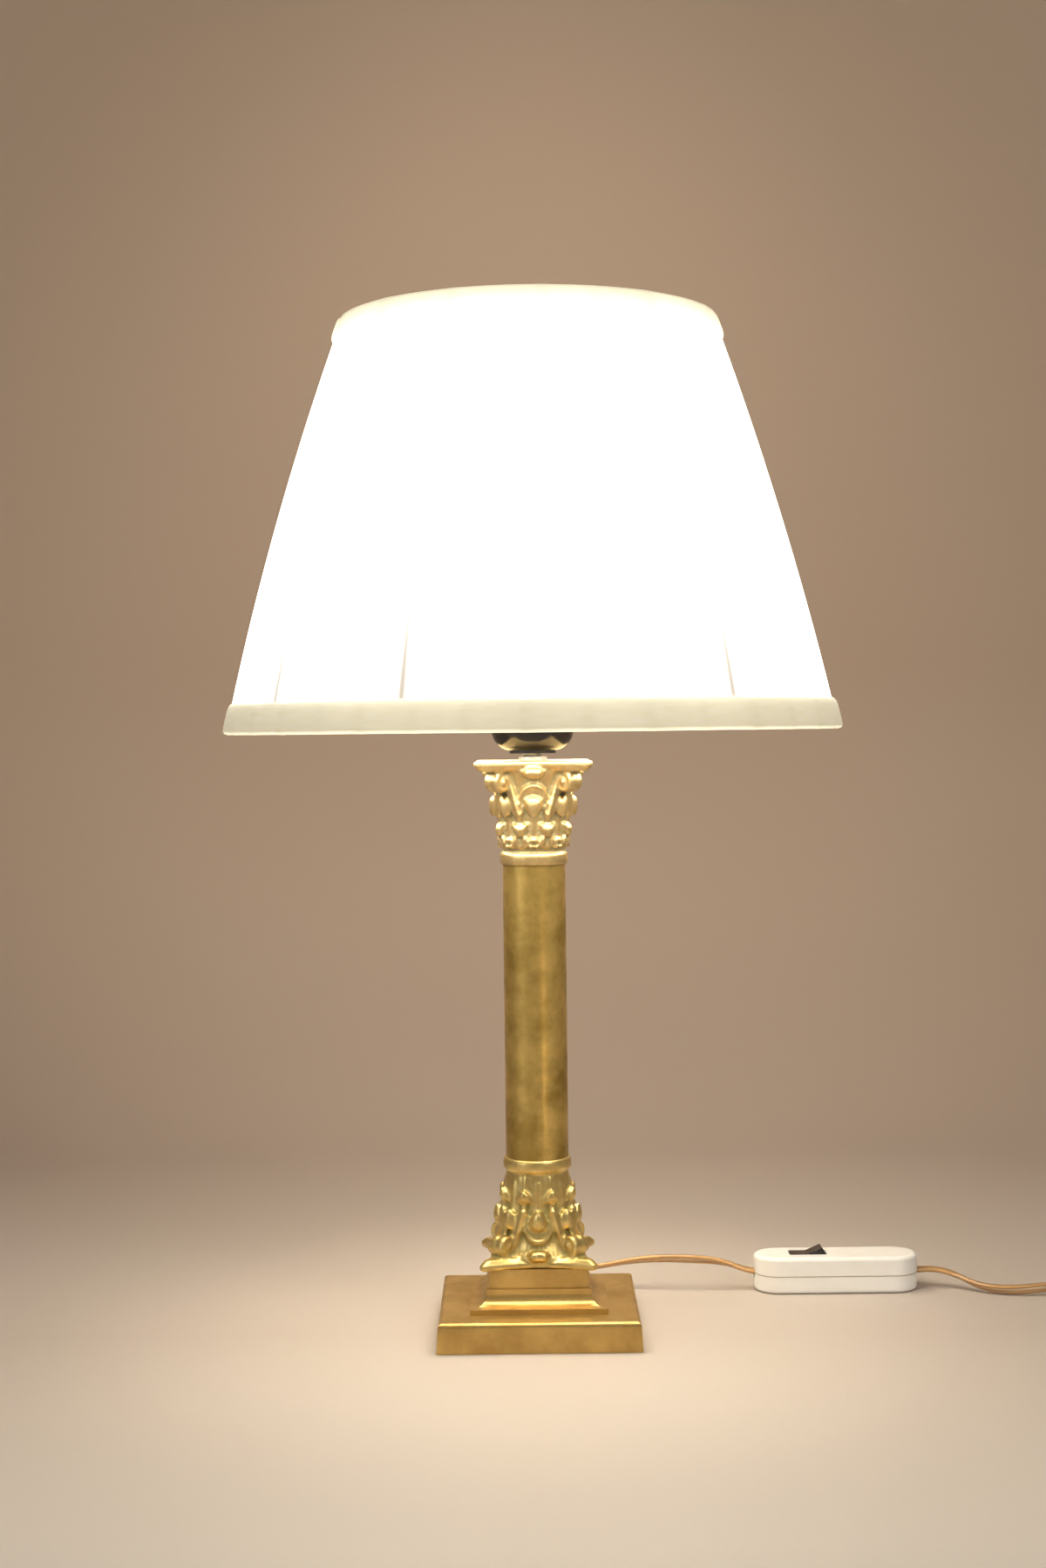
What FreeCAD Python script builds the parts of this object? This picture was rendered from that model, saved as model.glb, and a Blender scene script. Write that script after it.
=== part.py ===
import FreeCAD, Part
import math
import os

# Column table lamp: a square brass base, a brass tube between two cast Corinthian capitals (the lower
# one upside down), an E27 lampholder, a fabric shade on a wire frame, and a clear flat twin cord with
# an inline rocker switch. Millimetres. Origin: centre of the base on the table. +X right, +Y back, +Z up.

V = FreeCAD.Vector

# ---- driving dimensions ----
# running and seating clearances
seat_gap = 0.1  # between pieces that lie on each other but turn or lift apart
slip_gap = 0.05  # radial, round the threaded rod
turn_gap = 0.3  # radial, round the lampholder's thread
pin_gap = 0.06  # radial, rocker trunnions in their bearings
weld_gap = 0.35  # between the fitter ring and its spokes
bushing_gap = 0.1  # radial, round the cord bushing
cord_slip = 0.15  # radial, round the cord in its bushing
rod_clear = 0.2  # radial, round the rod where nothing locates it

# base slab
slab_half = 49.3
slab_draft = 0.7
slab_height = 14.3
slab_edge = 2.3
slab_wall = 5.0
slab_top_wall = 2.5
felt_recess = 2.3
felt_thickness = 1.8
felt_fit = 0.3

# stepped moulding
fillet_half = 33.4
fillet_height = 2.7
cavetto_foot_half = 32.4
cavetto_rise = 5.2
lip_half = 25.5
lip_height = 2.6
block_half = 23.8
block_height = 9.2
block_wall = 2.9

# cast capitals
ring_height = 6.2
ring_radius = 16.9
neck_radius = 15.0
neck_height = 1.6
bell_radius = 15.6
bell_lip_radius = 22.6
bell_lip_height = 46.6
abacus_half = 28.9
abacus_waist = 22.6
abacus_horn = 2.6
abacus_height = 3.5
casting_height = 51.3
casting_bore = 11.4
casting_roof = 7.0
spigot_height = 4.0
low_leaf_top = 20.0
low_leaf_reach = 20.9
low_leaf_droop = 5.6
high_leaf_top = 33.6
high_leaf_reach = 22.4
high_leaf_droop = 9.8
scroll_radius = 5.2
scroll_reach = 26.8
scroll_height = 40.8
scroll_width = 7.0
eye_share = 0.34  # of the scroll's radius
eye_proud = 0.8
stalk_root = 24.6
arch_radius = 6.2
arch_height = 33.2
fleuron_height = 45.6
leaves_per_row = 8
low_leaf_breadth = 0.97  # of a leaf's share of the bell
high_leaf_breadth = 0.90

# column tube
tube_radius = 15.5
tube_wall = 1.2
tube_length = 144.7
spigot_fit = 0.1

# threaded rod and its fasteners
rod_radius = 5.0
rod_bore = 3.9
rod_low_end = 20.0
washer_radius = 10.0
washer_thickness = 1.5
lock_washer_radius = 8.2
lock_washer_thickness = 1.2
nut_flats = 14.0
nut_height = 4.0
collar_radius = 7.0
collar_height = 1.8

# lampholder
holder_stand = 3.5
cup_foot_radius = 11.5
cup_foot_height = 1.5
cup_radius = 20.2
cup_height = 24.0
cup_wall = 2.6
cup_floor = 3.0
cup_ledge = 4.0
rod_grip = 6.0
shell_flange_radius = 23.0
shell_flange_height = 3.0
shell_radius = 19.8
shell_wall = 1.9
shell_height = 38.0
shell_neck = 4.0
shell_mouth = 14.6
lip_thickness = 2.0
block_foot_height = 5.0
block_body_height = 7.0
block_body_radius = 14.6
screw_shell_radius = 13.4
screw_shell_wall = 0.45
screw_shell_height = 27.0
contact_height = 2.4
contact_width = 5.0
terminal_radius = 1.75
terminal_length = 5.0

# bulb
cap_radius = 13.05
cap_height = 22.0
insulator_height = 3.4
tip_radius = 5.0
tip_height = 1.2
glass_neck = 14.2
glass_radius = 30.0
glass_top = 428.0
glass_wall = 0.9
bulb_gap = 0.25
filament_wire = 0.35
filament_lift = 0.45

# shade fitter
fitter_bore_gap = 0.6
fitter_ring_width = 4.4
fitter_thickness = 1.8
clamp_height = 9.0
clamp_radius = 28.6
spoke_count = 3
spoke_wire = 1.5

# shade
shade_low = 296.4
shade_high = 496.6
shade_low_radius = 149.8
shade_high_radius = 91.2
shade_bulge = 3.8  # how far the middle stands outside the straight cone
fabric_thickness = 0.9
ring_wire = 1.5
rib_wire = 1.0
frame_gap = 0.12
panel_count = 12
panel_offset = 7.0
low_trim_height = 14.0
low_trim_thickness = 1.9
high_trim_height = 10.0
high_trim_thickness = 1.4

# cord and switch
cord_diameter = 5.2
exit_height = 7.0
bushing_flange = 4.6
bushing_body = 3.8
bushing_proud = 1.5
port_gap = 0.6
switch_x = 156.8
switch_y = 68.0
switch_length = 86.0
switch_width = 26.0
switch_base_height = 9.1
switch_top_height = 9.9
switch_wall = 1.8
switch_edge = 2.2
switch_groove = 0.35
rocker_x = -14.6
rocker_length = 16.4  # its dished top face
rocker_width = 9.6
rocker_half_angle = 12.0
rocker_valley = 3.2
rocker_gap = 0.35
trunnion_radius = 1.3
trunnion_length = 1.6
cheek_width = 7.0
screw_radius = 1.4
screw_head_radius = 2.6

# coil of spare cord
coil_x = 318.0
coil_y = 14.0
coil_outer = 34.0
coil_layers = 4
coil_half_turns = 3
coil_step = 6.6
coil_rise = 6.4

# two-pin plug
plug_x = 282.0
plug_y = -62.0
plug_neck_length = 22.0
plug_neck_radius = 3.9
plug_neck_root = 5.2
plug_length = 32.0
plug_width = 30.0
plug_thickness = 13.7
plug_nose_width = 35.3
pin_spacing = 19.0
pin_radius = 2.0
pin_length = 19.0
sleeve_radius = 1.9
sleeve_length = 10.0

# ---- heights worked out from the above ----
lip_low = slab_height + fillet_height + cavetto_rise
block_low = lip_low + lip_height
block_top = block_low + block_height
foot_low = block_top
foot_top = foot_low + casting_height
tube_top = foot_top + tube_length
capital_top = tube_top + casting_height
holder_low = capital_top + holder_stand
cup_top = holder_low + cup_height
shell_top = cup_top + shell_height
fitter_low = cup_top + shell_flange_height + seat_gap
clamp_low = fitter_low + fitter_thickness + seat_gap
rod_top = holder_low + rod_grip
block_foot_low = cup_top - cup_ledge
block_body_low = block_foot_low + block_foot_height
block_body_top = block_body_low + block_body_height

nodes = {}


# ---- helpers ----
def keep(name, *solids):
    """A node is one solid, or a group of like solids."""
    shape = solids[0] if len(solids) == 1 else Part.makeCompound(list(solids))
    volumes = [s.Volume for s in shape.Solids]
    state = "ok" if shape.isValid() else "NOT VALID"
    print(f"{name}: {len(volumes)} solid(s), {sum(volumes):.0f} mm3, {state}")
    nodes[name] = shape


def outline(points):
    """Closed wire in the XZ plane. A point is (x, z), or (x, z, middle_x, middle_z) to end an arc there."""
    spots = [V(p[0], 0, p[1]) for p in points]
    edges = []
    for i, p in enumerate(points):
        start = spots[i - 1]
        if (start - spots[i]).Length < 1e-6:
            continue
        if len(p) == 4:
            edges.append(Part.Arc(start, V(p[2], 0, p[3]), spots[i]).toShape())
        else:
            edges.append(Part.LineSegment(start, spots[i]).toShape())
    return Part.Wire(edges)


def turned(points, angle=360.0):
    """Solid of revolution about Z."""
    return Part.Face(outline(points)).revolve(V(0, 0, 0), V(0, 0, 1), angle)


def disc(radius, low, high, x=0.0, y=0.0):
    return Part.makeCylinder(radius, high - low, V(x, y, low))


def rod_along_y(radius, length, x, y, z):
    """Cylinder that starts at (x, y, z) and runs towards +Y."""
    return Part.makeCylinder(radius, length, V(x, y, z), V(0, 1, 0))


def pipe(inner, outer, low, high):
    return disc(outer, low, high).cut(disc(inner, low - 1, high + 1))


def square_block(half, low, high):
    return Part.makeBox(2 * half, 2 * half, high - low, V(-half, -half, low))


def square_moulding(profile):
    """A square piece whose four sides all follow one profile, mitred at the corners."""
    right = [tuple(p) for p in profile]
    left = [(-p[0], p[1]) for p in reversed(profile)]
    # an arc that ends at point i on the right starts at that point on the left
    for i, p in enumerate(reversed(profile)):
        if len(p) == 4 and i + 1 < len(left):
            left[i + 1] = (left[i + 1][0], left[i + 1][1], -p[2], p[3])
    reach = 2 * max(p[0] for p in profile)
    face = Part.Face(outline(right + left))
    bar = face.extrude(V(0, 2 * reach, 0))
    bar.translate(V(0, -reach, 0))
    cross = bar.copy()
    cross.rotate(V(0, 0, 0), V(0, 0, 1), 90)
    return bar.common(cross)


def around(shape, angle):
    copy = shape.copy()
    copy.rotate(V(0, 0, 0), V(0, 0, 1), angle)
    return copy


def one_solid(shape):
    """The single solid of a fused or cut shape."""
    cleaned = shape.removeSplitter()
    return cleaned.Solids[0] if len(cleaned.Solids) == 1 else shape.Solids[0]


def hexagon(flats, low, high):
    corner = flats / math.sqrt(3)
    points = [V(corner * math.cos(math.radians(60 * k)), corner * math.sin(math.radians(60 * k)), low)
              for k in range(6)]
    return Part.Face(Part.makePolygon(points + points[:1])).extrude(V(0, 0, high - low))


# ---- base ----
def make_base():
    bend = slab_edge * (1 - math.sqrt(0.5))
    top_half = slab_half - slab_draft
    slab = square_moulding([
        (slab_half, 0),
        (top_half, slab_height - slab_edge),
        (top_half - slab_edge, slab_height, top_half - bend, slab_height - bend),
    ])
    cavity = square_block(slab_half - slab_wall, felt_recess, slab_height - slab_top_wall)
    recess = square_block(slab_half - slab_wall / 2, -1, felt_recess)
    cable_way = square_block(block_half - block_wall, 0, slab_height + 1)
    seat_y = slab_half - slab_draft - 0.4
    wall_y = slab_half - slab_wall * 2
    exit_hole = rod_along_y(bushing_body + bushing_gap, slab_wall * 3, 0, wall_y, exit_height)
    spot = rod_along_y(bushing_flange + bushing_gap, slab_wall, 0, seat_y, exit_height)
    slab = slab.cut(cavity).cut(recess).cut(cable_way).cut(exit_hole).cut(spot)
    keep("base_slab", one_solid(slab))

    felt_half = slab_half - slab_wall / 2 - felt_fit
    keep("base_felt", square_block(felt_half, felt_recess - felt_thickness, felt_recess))

    cavetto_low = slab_height + fillet_height
    sag = 0.30
    middle_x = (cavetto_foot_half + lip_half) / 2 - sag * cavetto_rise
    middle_z = cavetto_low + cavetto_rise / 2 - sag * cavetto_rise * 0.8
    moulding = square_moulding([
        (fillet_half, slab_height),
        (fillet_half, cavetto_low),
        (cavetto_foot_half, cavetto_low),
        (lip_half, lip_low, middle_x, middle_z),
        (lip_half, block_low),
        (block_half, block_low),
        (block_half, block_top),
    ])
    moulding = moulding.cut(square_block(block_half - block_wall, slab_height - 1, block_top - block_wall))
    moulding = moulding.cut(disc(rod_radius + rod_clear, slab_height, block_top + 1))
    keep("base_moulding", one_solid(moulding))

    inner_y = slab_half - slab_wall - 1
    bush = rod_along_y(bushing_body, seat_y - inner_y, 0, inner_y, exit_height)
    flange = rod_along_y(bushing_flange, slab_half + bushing_proud - seat_y, 0, seat_y, exit_height)
    bore_radius = cord_diameter / 2 + cord_slip
    bore = rod_along_y(bore_radius, 6 * slab_wall, 0, slab_half - 3 * slab_wall, exit_height)
    keep("cord_bushing", one_solid(bush.fuse(flange).cut(bore)))


# ---- cast capital ----
def bell(h):
    """Radius of the capital's bell at height h."""
    rise = max(0.0, (h - 18.0) / (bell_lip_height - 18.0))
    return bell_radius + (bell_lip_radius - bell_radius) * rise ** 2.2


def leaf(low, top, reach, droop, width):
    """An acanthus leaf that follows the bell, swells, and curls over into a hanging hood."""
    rise = top - low
    # radius, height, half width, thickness, lean of the section from level
    stations = [
        (bell(low) - 0.6, low, 0.80, 1.2, 0),
        (bell(low + 0.28 * rise), low + 0.28 * rise, 1.00, 1.9, 0),
        (bell(low + 0.50 * rise) + 0.3, low + 0.50 * rise, 0.82, 2.0, 6),
        (bell(low + 0.72 * rise) + 0.9, low + 0.72 * rise, 0.90, 2.2, 16),
        (reach - 3.4, top - 1.9, 0.84, 2.2, 42),
        (reach - 2.0, top - 1.1, 0.82, 2.2, 88),
        (reach - 1.0, top - 0.32 * droop, 0.74, 2.1, 138),
        (reach - 0.9, top - 0.66 * droop, 0.56, 1.9, 172),
        (reach - 1.2, top - 0.94 * droop, 0.30, 1.5, 178),
    ]
    leaf_section = [(-1, 0.1), (-0.55, 0.75), (0, 1.0), (0.55, 0.75), (1, 0.1), (0.6, -0.9), (-0.6, -0.9)]
    wires = []
    for radius, height, broad, thick, lean in stations:
        half = width / 2 * broad
        slope = math.radians(lean)
        out = (math.cos(slope), -math.sin(slope))
        spots = []
        for across, depth in leaf_section:
            d = depth * thick / 1.6 - (across * half) ** 2 / (2 * radius) * 0.8
            spots.append(V(radius + d * out[0], across * half, height + d * out[1]))
        wires.append(Part.makePolygon(spots + spots[:1]))
    return Part.makeLoft(wires, True, True)


def scroll(angle):
    """A corner volute: a stalk that rises from between the leaves and rolls up under the abacus."""
    low = stalk_root
    centre = scroll_reach - scroll_radius / 2
    roll = rod_along_y(scroll_radius, scroll_width, centre, -scroll_width / 2, scroll_height)
    eye_width = scroll_width + 2 * eye_proud
    eye = rod_along_y(scroll_radius * eye_share, eye_width, centre, -eye_width / 2, scroll_height)
    stalk_face = Part.Face(outline([
        (bell(low) - 2.0, low),
        (bell(low) + 2.2, low),
        (centre, scroll_height - scroll_radius, bell(low) + 3.0, scroll_height - scroll_radius - 2.6),
        (centre, scroll_height + scroll_radius),
        (bell(scroll_height) - 3.5, scroll_height + scroll_radius),
    ]))
    stalk = stalk_face.extrude(V(0, scroll_width * 0.72, 0))
    stalk.translate(V(0, -scroll_width * 0.36, 0))
    horn_seat = Part.makeBox(scroll_radius * 1.9, scroll_width * 0.8, bell_lip_height - scroll_height + 1.5,
                             V(centre - scroll_radius * 0.9, -scroll_width * 0.4, scroll_height))
    return around(roll.fuse([eye, stalk, horn_seat]), angle)


def arch(angle):
    """The pair of small helices that meet over the middle leaf, as one raised arch."""
    inner = arch_radius - 1.2
    reach = bell(arch_height + arch_radius) + 1.5
    low = arch_height - 3.0
    ring = Part.makeCylinder(arch_radius, reach, V(0, 0, arch_height), V(1, 0, 0))
    ring = ring.fuse(Part.makeBox(reach, 2 * arch_radius, arch_height - low, V(0, -arch_radius, low)))
    gap = Part.makeCylinder(inner, reach + 2, V(-1, 0, arch_height), V(1, 0, 0))
    gap = gap.fuse(Part.makeBox(reach + 2, 2 * inner, arch_height - low + 1, V(-1, -inner, low - 1)))
    foot = low - 2.0
    head = arch_height + 8.0
    core = turned([(0, foot), (bell(foot) - 1.5, foot), (bell(head) - 1.5, head), (0, head)])
    front = ring.cut(gap).cut(core)
    return around(front.Solids[0] if front.Solids else front, angle)


def fleuron(angle):
    """The flower at the middle of each side of the abacus."""
    half_wide = 5.4
    bud = Part.Face(outline([
        (-half_wide, 0),
        (half_wide, 0, 0, 2.6),
        (-half_wide, 0, 0, -2.6),
    ])).extrude(V(0, 6.0, 0))
    bud.translate(V(0, -6.0, fleuron_height))
    bud.rotate(V(0, 0, 0), V(0, 0, 1), 90)
    bud.translate(V(abacus_waist - 5.0, 0, 0))
    return around(bud, angle)


def abacus_plate(low, high, shrink):
    """The four-horned top plate with its hollowed sides."""
    far = abacus_half - shrink
    cut = far - abacus_horn
    waist = abacus_waist - shrink
    edges = []
    for k in range(4):
        turn = FreeCAD.Rotation(V(0, 0, 1), 90 * k)
        a = turn.multVec(V(far, -cut, low))
        m = turn.multVec(V(waist, 0, low))
        b = turn.multVec(V(far, cut, low))
        c = turn.multVec(V(cut, far, low))
        edges.append(Part.Arc(a, m, b).toShape())
        edges.append(Part.LineSegment(b, c).toShape())
    return Part.Face(Part.Wire(edges)).extrude(V(0, 0, high - low))


def make_casting():
    """The capital, standing upright on z = 0, with its spigot reaching below zero into the tube."""
    steps = 5
    flare = [(bell(18 + (bell_lip_height - 18) * k / steps), 18 + (bell_lip_height - 18) * k / steps)
             for k in range(steps + 1)]
    body = turned([
        (0, 0),
        (ring_radius - 0.9, 0),
        (ring_radius, ring_height * 0.35),
        (ring_radius, ring_height * 0.72),
        (neck_radius + 0.6, ring_height, ring_radius - 0.35, ring_height * 0.93),
        (neck_radius, ring_height),
        (neck_radius, ring_height + neck_height),
        (bell_radius, ring_height + neck_height),
    ] + flare + [(0, bell_lip_height)])
    low = ring_height + neck_height
    pitch = 360.0 / leaves_per_row
    share = 2 * math.pi * bell_radius / leaves_per_row
    row = range(leaves_per_row)
    low_width = share * low_leaf_breadth
    high_width = share * high_leaf_breadth
    low_leaf = leaf(low + 0.5, low_leaf_top, low_leaf_reach, low_leaf_droop, low_width)
    high_leaf = leaf(low + 3.0, high_leaf_top, high_leaf_reach, high_leaf_droop, high_width)
    pieces = [around(low_leaf, pitch * (k + 0.5)) for k in row]
    pieces += [around(high_leaf, pitch * k) for k in row]
    pieces += [scroll(45 + 90 * k) for k in range(4)]
    pieces += [arch(90 * k) for k in range(4)]
    pieces += [fleuron(90 * k) for k in range(4)]
    top_step = casting_height - abacus_height * 0.66
    pieces.append(abacus_plate(bell_lip_height - 0.5, top_step, 1.3))
    pieces.append(abacus_plate(top_step, casting_height, 0))
    spigot_radius = tube_radius - tube_wall - spigot_fit
    pieces.append(disc(spigot_radius, -spigot_height, 1))
    solid = body.fuse(pieces)
    hollow = disc(casting_bore, -spigot_height - 1, casting_height - casting_roof)
    return one_solid(solid.cut(hollow).cut(disc(rod_radius + rod_clear, 0, casting_height + 1)))


def make_column():
    casting = make_casting()
    foot = casting.copy()
    foot.rotate(V(0, 0, 0), V(1, 0, 0), 180)
    foot.translate(V(0, 0, foot_top))
    keep("foot_casting", foot)
    capital = casting.copy()
    capital.translate(V(0, 0, tube_top))
    keep("top_capital", capital)
    keep("column_tube", pipe(tube_radius - tube_wall, tube_radius, foot_top, tube_top))


def make_rod():
    keep("threaded_rod", pipe(rod_bore, rod_radius, rod_low_end, rod_top))
    roof = block_top - block_wall
    hole = rod_radius + slip_gap
    washer_low = roof - washer_thickness
    lock_low = washer_low - lock_washer_thickness
    keep("clamp_washer", pipe(hole, washer_radius, washer_low, roof))
    lock = pipe(hole, lock_washer_radius, lock_low, washer_low)
    notch_place = V(lock_washer_radius - 1.4, -0.6, lock_low - 1)
    notch = Part.makeBox(3.0, 1.2, lock_washer_thickness + 2, notch_place)
    lock = lock.cut([around(notch, 45 * k) for k in range(8)])
    keep("lock_washer", one_solid(lock))
    nut = hexagon(nut_flats, lock_low - nut_height, lock_low).cut(disc(hole, 0, block_top))
    keep("rod_nut", one_solid(nut))
    collar = pipe(hole, collar_radius, capital_top, capital_top + collar_height)
    keep("capital_locknut", collar)


# ---- lampholder ----
def make_holder():
    low = holder_low
    foot = low + cup_foot_height
    inner = cup_radius - cup_wall
    hole = rod_radius + slip_gap
    seat = block_foot_low
    cup = turned([
        (hole, low),
        (cup_foot_radius, low),
        (cup_foot_radius, foot),
        (cup_foot_radius + 1.6, foot + 0.2),
        (cup_radius, low + 12.5, cup_radius - 2.6, low + 4.6),
        (cup_radius, cup_top),
        (inner, cup_top),
        (inner, seat),
        (inner - 1.6, seat),
        (inner - 1.6, low + 12.5),
        (hole + 3.0, low + cup_floor + 0.8, inner - 3.6, low + 6.2),
        (hole + 3.0, low + rod_grip + 2.0),
        (hole, low + rod_grip + 2.0),
    ])
    keep("holder_lower_cap", cup)

    bore = shell_radius - shell_wall
    neck = block_body_radius + slip_gap * 8
    shell = turned([
        (bore, cup_top),
        (shell_flange_radius, cup_top),
        (shell_flange_radius, cup_top + shell_flange_height),
        (shell_radius, cup_top + shell_flange_height),
        (shell_radius, shell_top),
        (shell_mouth, shell_top),
        (shell_mouth, shell_top - lip_thickness),
        (neck + 1.0, shell_top - lip_thickness),
        (neck + 1.0, block_body_top),
        (bore, block_body_top - shell_neck),
    ])
    keep("holder_upper_shell", shell)

    foot_radius = inner - 0.2
    ceramic = disc(foot_radius, block_foot_low, block_body_low)
    ceramic = ceramic.fuse(disc(block_body_radius, block_body_low, block_body_top))
    spring_bed = Part.makeBox(contact_width + 0.4, 2 * block_body_radius, 1.2,
                              V(-contact_width / 2 - 0.2, -block_body_radius, block_body_top - 1.2))
    wire_way = disc(cord_diameter / 2 + 0.3, block_foot_low - 1, block_foot_low + block_foot_height)
    ceramic = ceramic.cut(spring_bed).cut(wire_way)
    terminals = []
    for side in (-1, 1):
        start = V(side * (block_body_radius - terminal_length), 0, block_body_low + 3.0)
        hole = Part.makeCylinder(terminal_radius + slip_gap, terminal_length + 1, start, V(side, 0, 0))
        ceramic = ceramic.cut(hole)
        screw = Part.makeCylinder(terminal_radius, terminal_length - 0.3, start, V(side, 0, 0))
        slot_length = 2 * terminal_radius + 1
        slot_place = V(side * (block_body_radius - 0.3) - 0.5, -slot_length / 2, block_body_low + 2.7)
        slot = Part.makeBox(1.0, slot_length, 0.6, slot_place)
        terminals.append(screw.cut(slot))
    keep("holder_contact_block", one_solid(ceramic))
    keep("holder_terminal_screws", *terminals)

    shell_low = block_body_top
    keep("holder_screw_shell", pipe(screw_shell_radius, screw_shell_radius + screw_shell_wall, shell_low,
                                    shell_low + screw_shell_height - shell_neck))
    bed = block_body_top - 1.2
    strip = Part.makeBox(contact_width, 18.0, 0.6, V(-contact_width / 2, -9.0, bed))
    tongue = Part.makeBox(contact_width, 7.0, contact_height + 1.2, V(-contact_width / 2, -3.5, bed))
    hollow = Part.makeBox(contact_width + 2, 5.8, contact_height, V(-contact_width / 2 - 1, -2.9, bed + 0.6))
    keep("holder_centre_contact", one_solid(strip.fuse(tongue).cut(hollow)))


def make_bulb():
    tip_low = block_body_top + contact_height + bulb_gap
    skirt_low = tip_low + tip_height
    cap_low = skirt_low + insulator_height
    cap_top = cap_low + cap_height
    keep("bulb_tip_contact", disc(tip_radius, tip_low, skirt_low))
    keep("bulb_insulator", turned([
        (0, skirt_low),
        (tip_radius + 1.6, skirt_low),
        (cap_radius - 1.2, cap_low),
        (0, cap_low),
    ]))
    cap = pipe(cap_radius - 0.4, cap_radius, cap_low, cap_top)
    cap = cap.fuse(disc(cap_radius, cap_low, cap_low + 0.4))
    keep("bulb_cap", one_solid(cap))

    centre = glass_top - glass_radius
    shoulder = centre - glass_radius * 0.62
    tangent = math.sqrt(glass_radius ** 2 - (glass_radius * 0.62) ** 2)

    def skin(off):
        radius = glass_radius - off
        neck_x = (glass_neck + tangent) / 2 - 1.2 - off
        neck_z = (cap_top + 2 + shoulder) / 2 + 1.5
        eighth = radius * math.sqrt(0.5)
        return [
            (cap_radius - 0.5 - off, cap_top - 6.0),
            (cap_radius - 0.5 - off, cap_top),
            (glass_neck - off, cap_top + 2.0),
            (tangent - off * 0.8, shoulder, neck_x, neck_z),
            (radius, centre, radius * 0.955, centre - radius * 0.297),
            (0, glass_top - off, eighth, centre + eighth),
        ]

    outer = turned(skin(0) + [(0, cap_top - 6.0)])
    inner = turned(skin(glass_wall) + [(0, cap_top - 6.0)])
    keep("bulb_glass", one_solid(outer.cut(inner)))

    stem_low = cap_low + 0.4
    stem_top = cap_top + 20.0
    stem_profile = [(0, stem_low), (8.5, stem_low), (6.5, cap_top), (2.0, stem_top), (0, stem_top)]
    keep("bulb_stem", turned(stem_profile))
    hook = stem_top + filament_lift
    wire = Part.Wire([Part.makePolygon([
        V(-1.5, 0, hook),
        V(-9.0, 0, hook + 22.0),
        V(0, 0, hook + 19.0),
        V(9.0, 0, hook + 22.0),
        V(1.5, 0, hook),
    ])])
    pieces = []
    for edge in wire.Edges:
        a = edge.Vertexes[0].Point
        b = edge.Vertexes[1].Point
        pieces.append(Part.makeCylinder(filament_wire, (b - a).Length, a, b - a))
        pieces.append(Part.makeSphere(filament_wire + 0.05, b))
    filament = pieces[0].fuse(pieces[1:])
    keep("bulb_filament", one_solid(filament))


# ---- shade ----
def shade_circle():
    """Centre and radius, in the (r, z) plane, of the arc that the fabric's outside follows."""
    ax, az = shade_low_radius, shade_low
    cx, cz = shade_high_radius, shade_high
    bx, bz = (ax + cx) / 2 + shade_bulge, (az + cz) / 2
    d = 2 * (ax * (bz - cz) + bx * (cz - az) + cx * (az - bz))
    a2, b2, c2 = ax ** 2 + az ** 2, bx ** 2 + bz ** 2, cx ** 2 + cz ** 2
    x = (a2 * (bz - cz) + b2 * (cz - az) + c2 * (az - bz)) / d
    z = (a2 * (cx - bx) + b2 * (ax - cx) + c2 * (bx - ax)) / d
    return x, z, math.hypot(ax - x, az - z)


def shade_radius(z, inset=0.0):
    """Radius of the surface that lies inset inside the fabric's outside, at height z."""
    x, middle, big = shade_circle()
    return x + math.sqrt((big - inset) ** 2 - (z - middle) ** 2)


def shade_band(low, high, outer_inset, inner_inset, angle=360.0):
    middle = (low + high) / 2
    return turned([
        (shade_radius(low, inner_inset), low),
        (shade_radius(low, outer_inset), low),
        (shade_radius(high, outer_inset), high, shade_radius(middle, outer_inset), middle),
        (shade_radius(high, inner_inset), high),
        (shade_radius(low, inner_inset), low, shade_radius(middle, inner_inset), middle),
    ], angle)


def hoop(radius, wire, height):
    return Part.makeTorus(radius, wire, V(0, 0, height))


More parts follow.
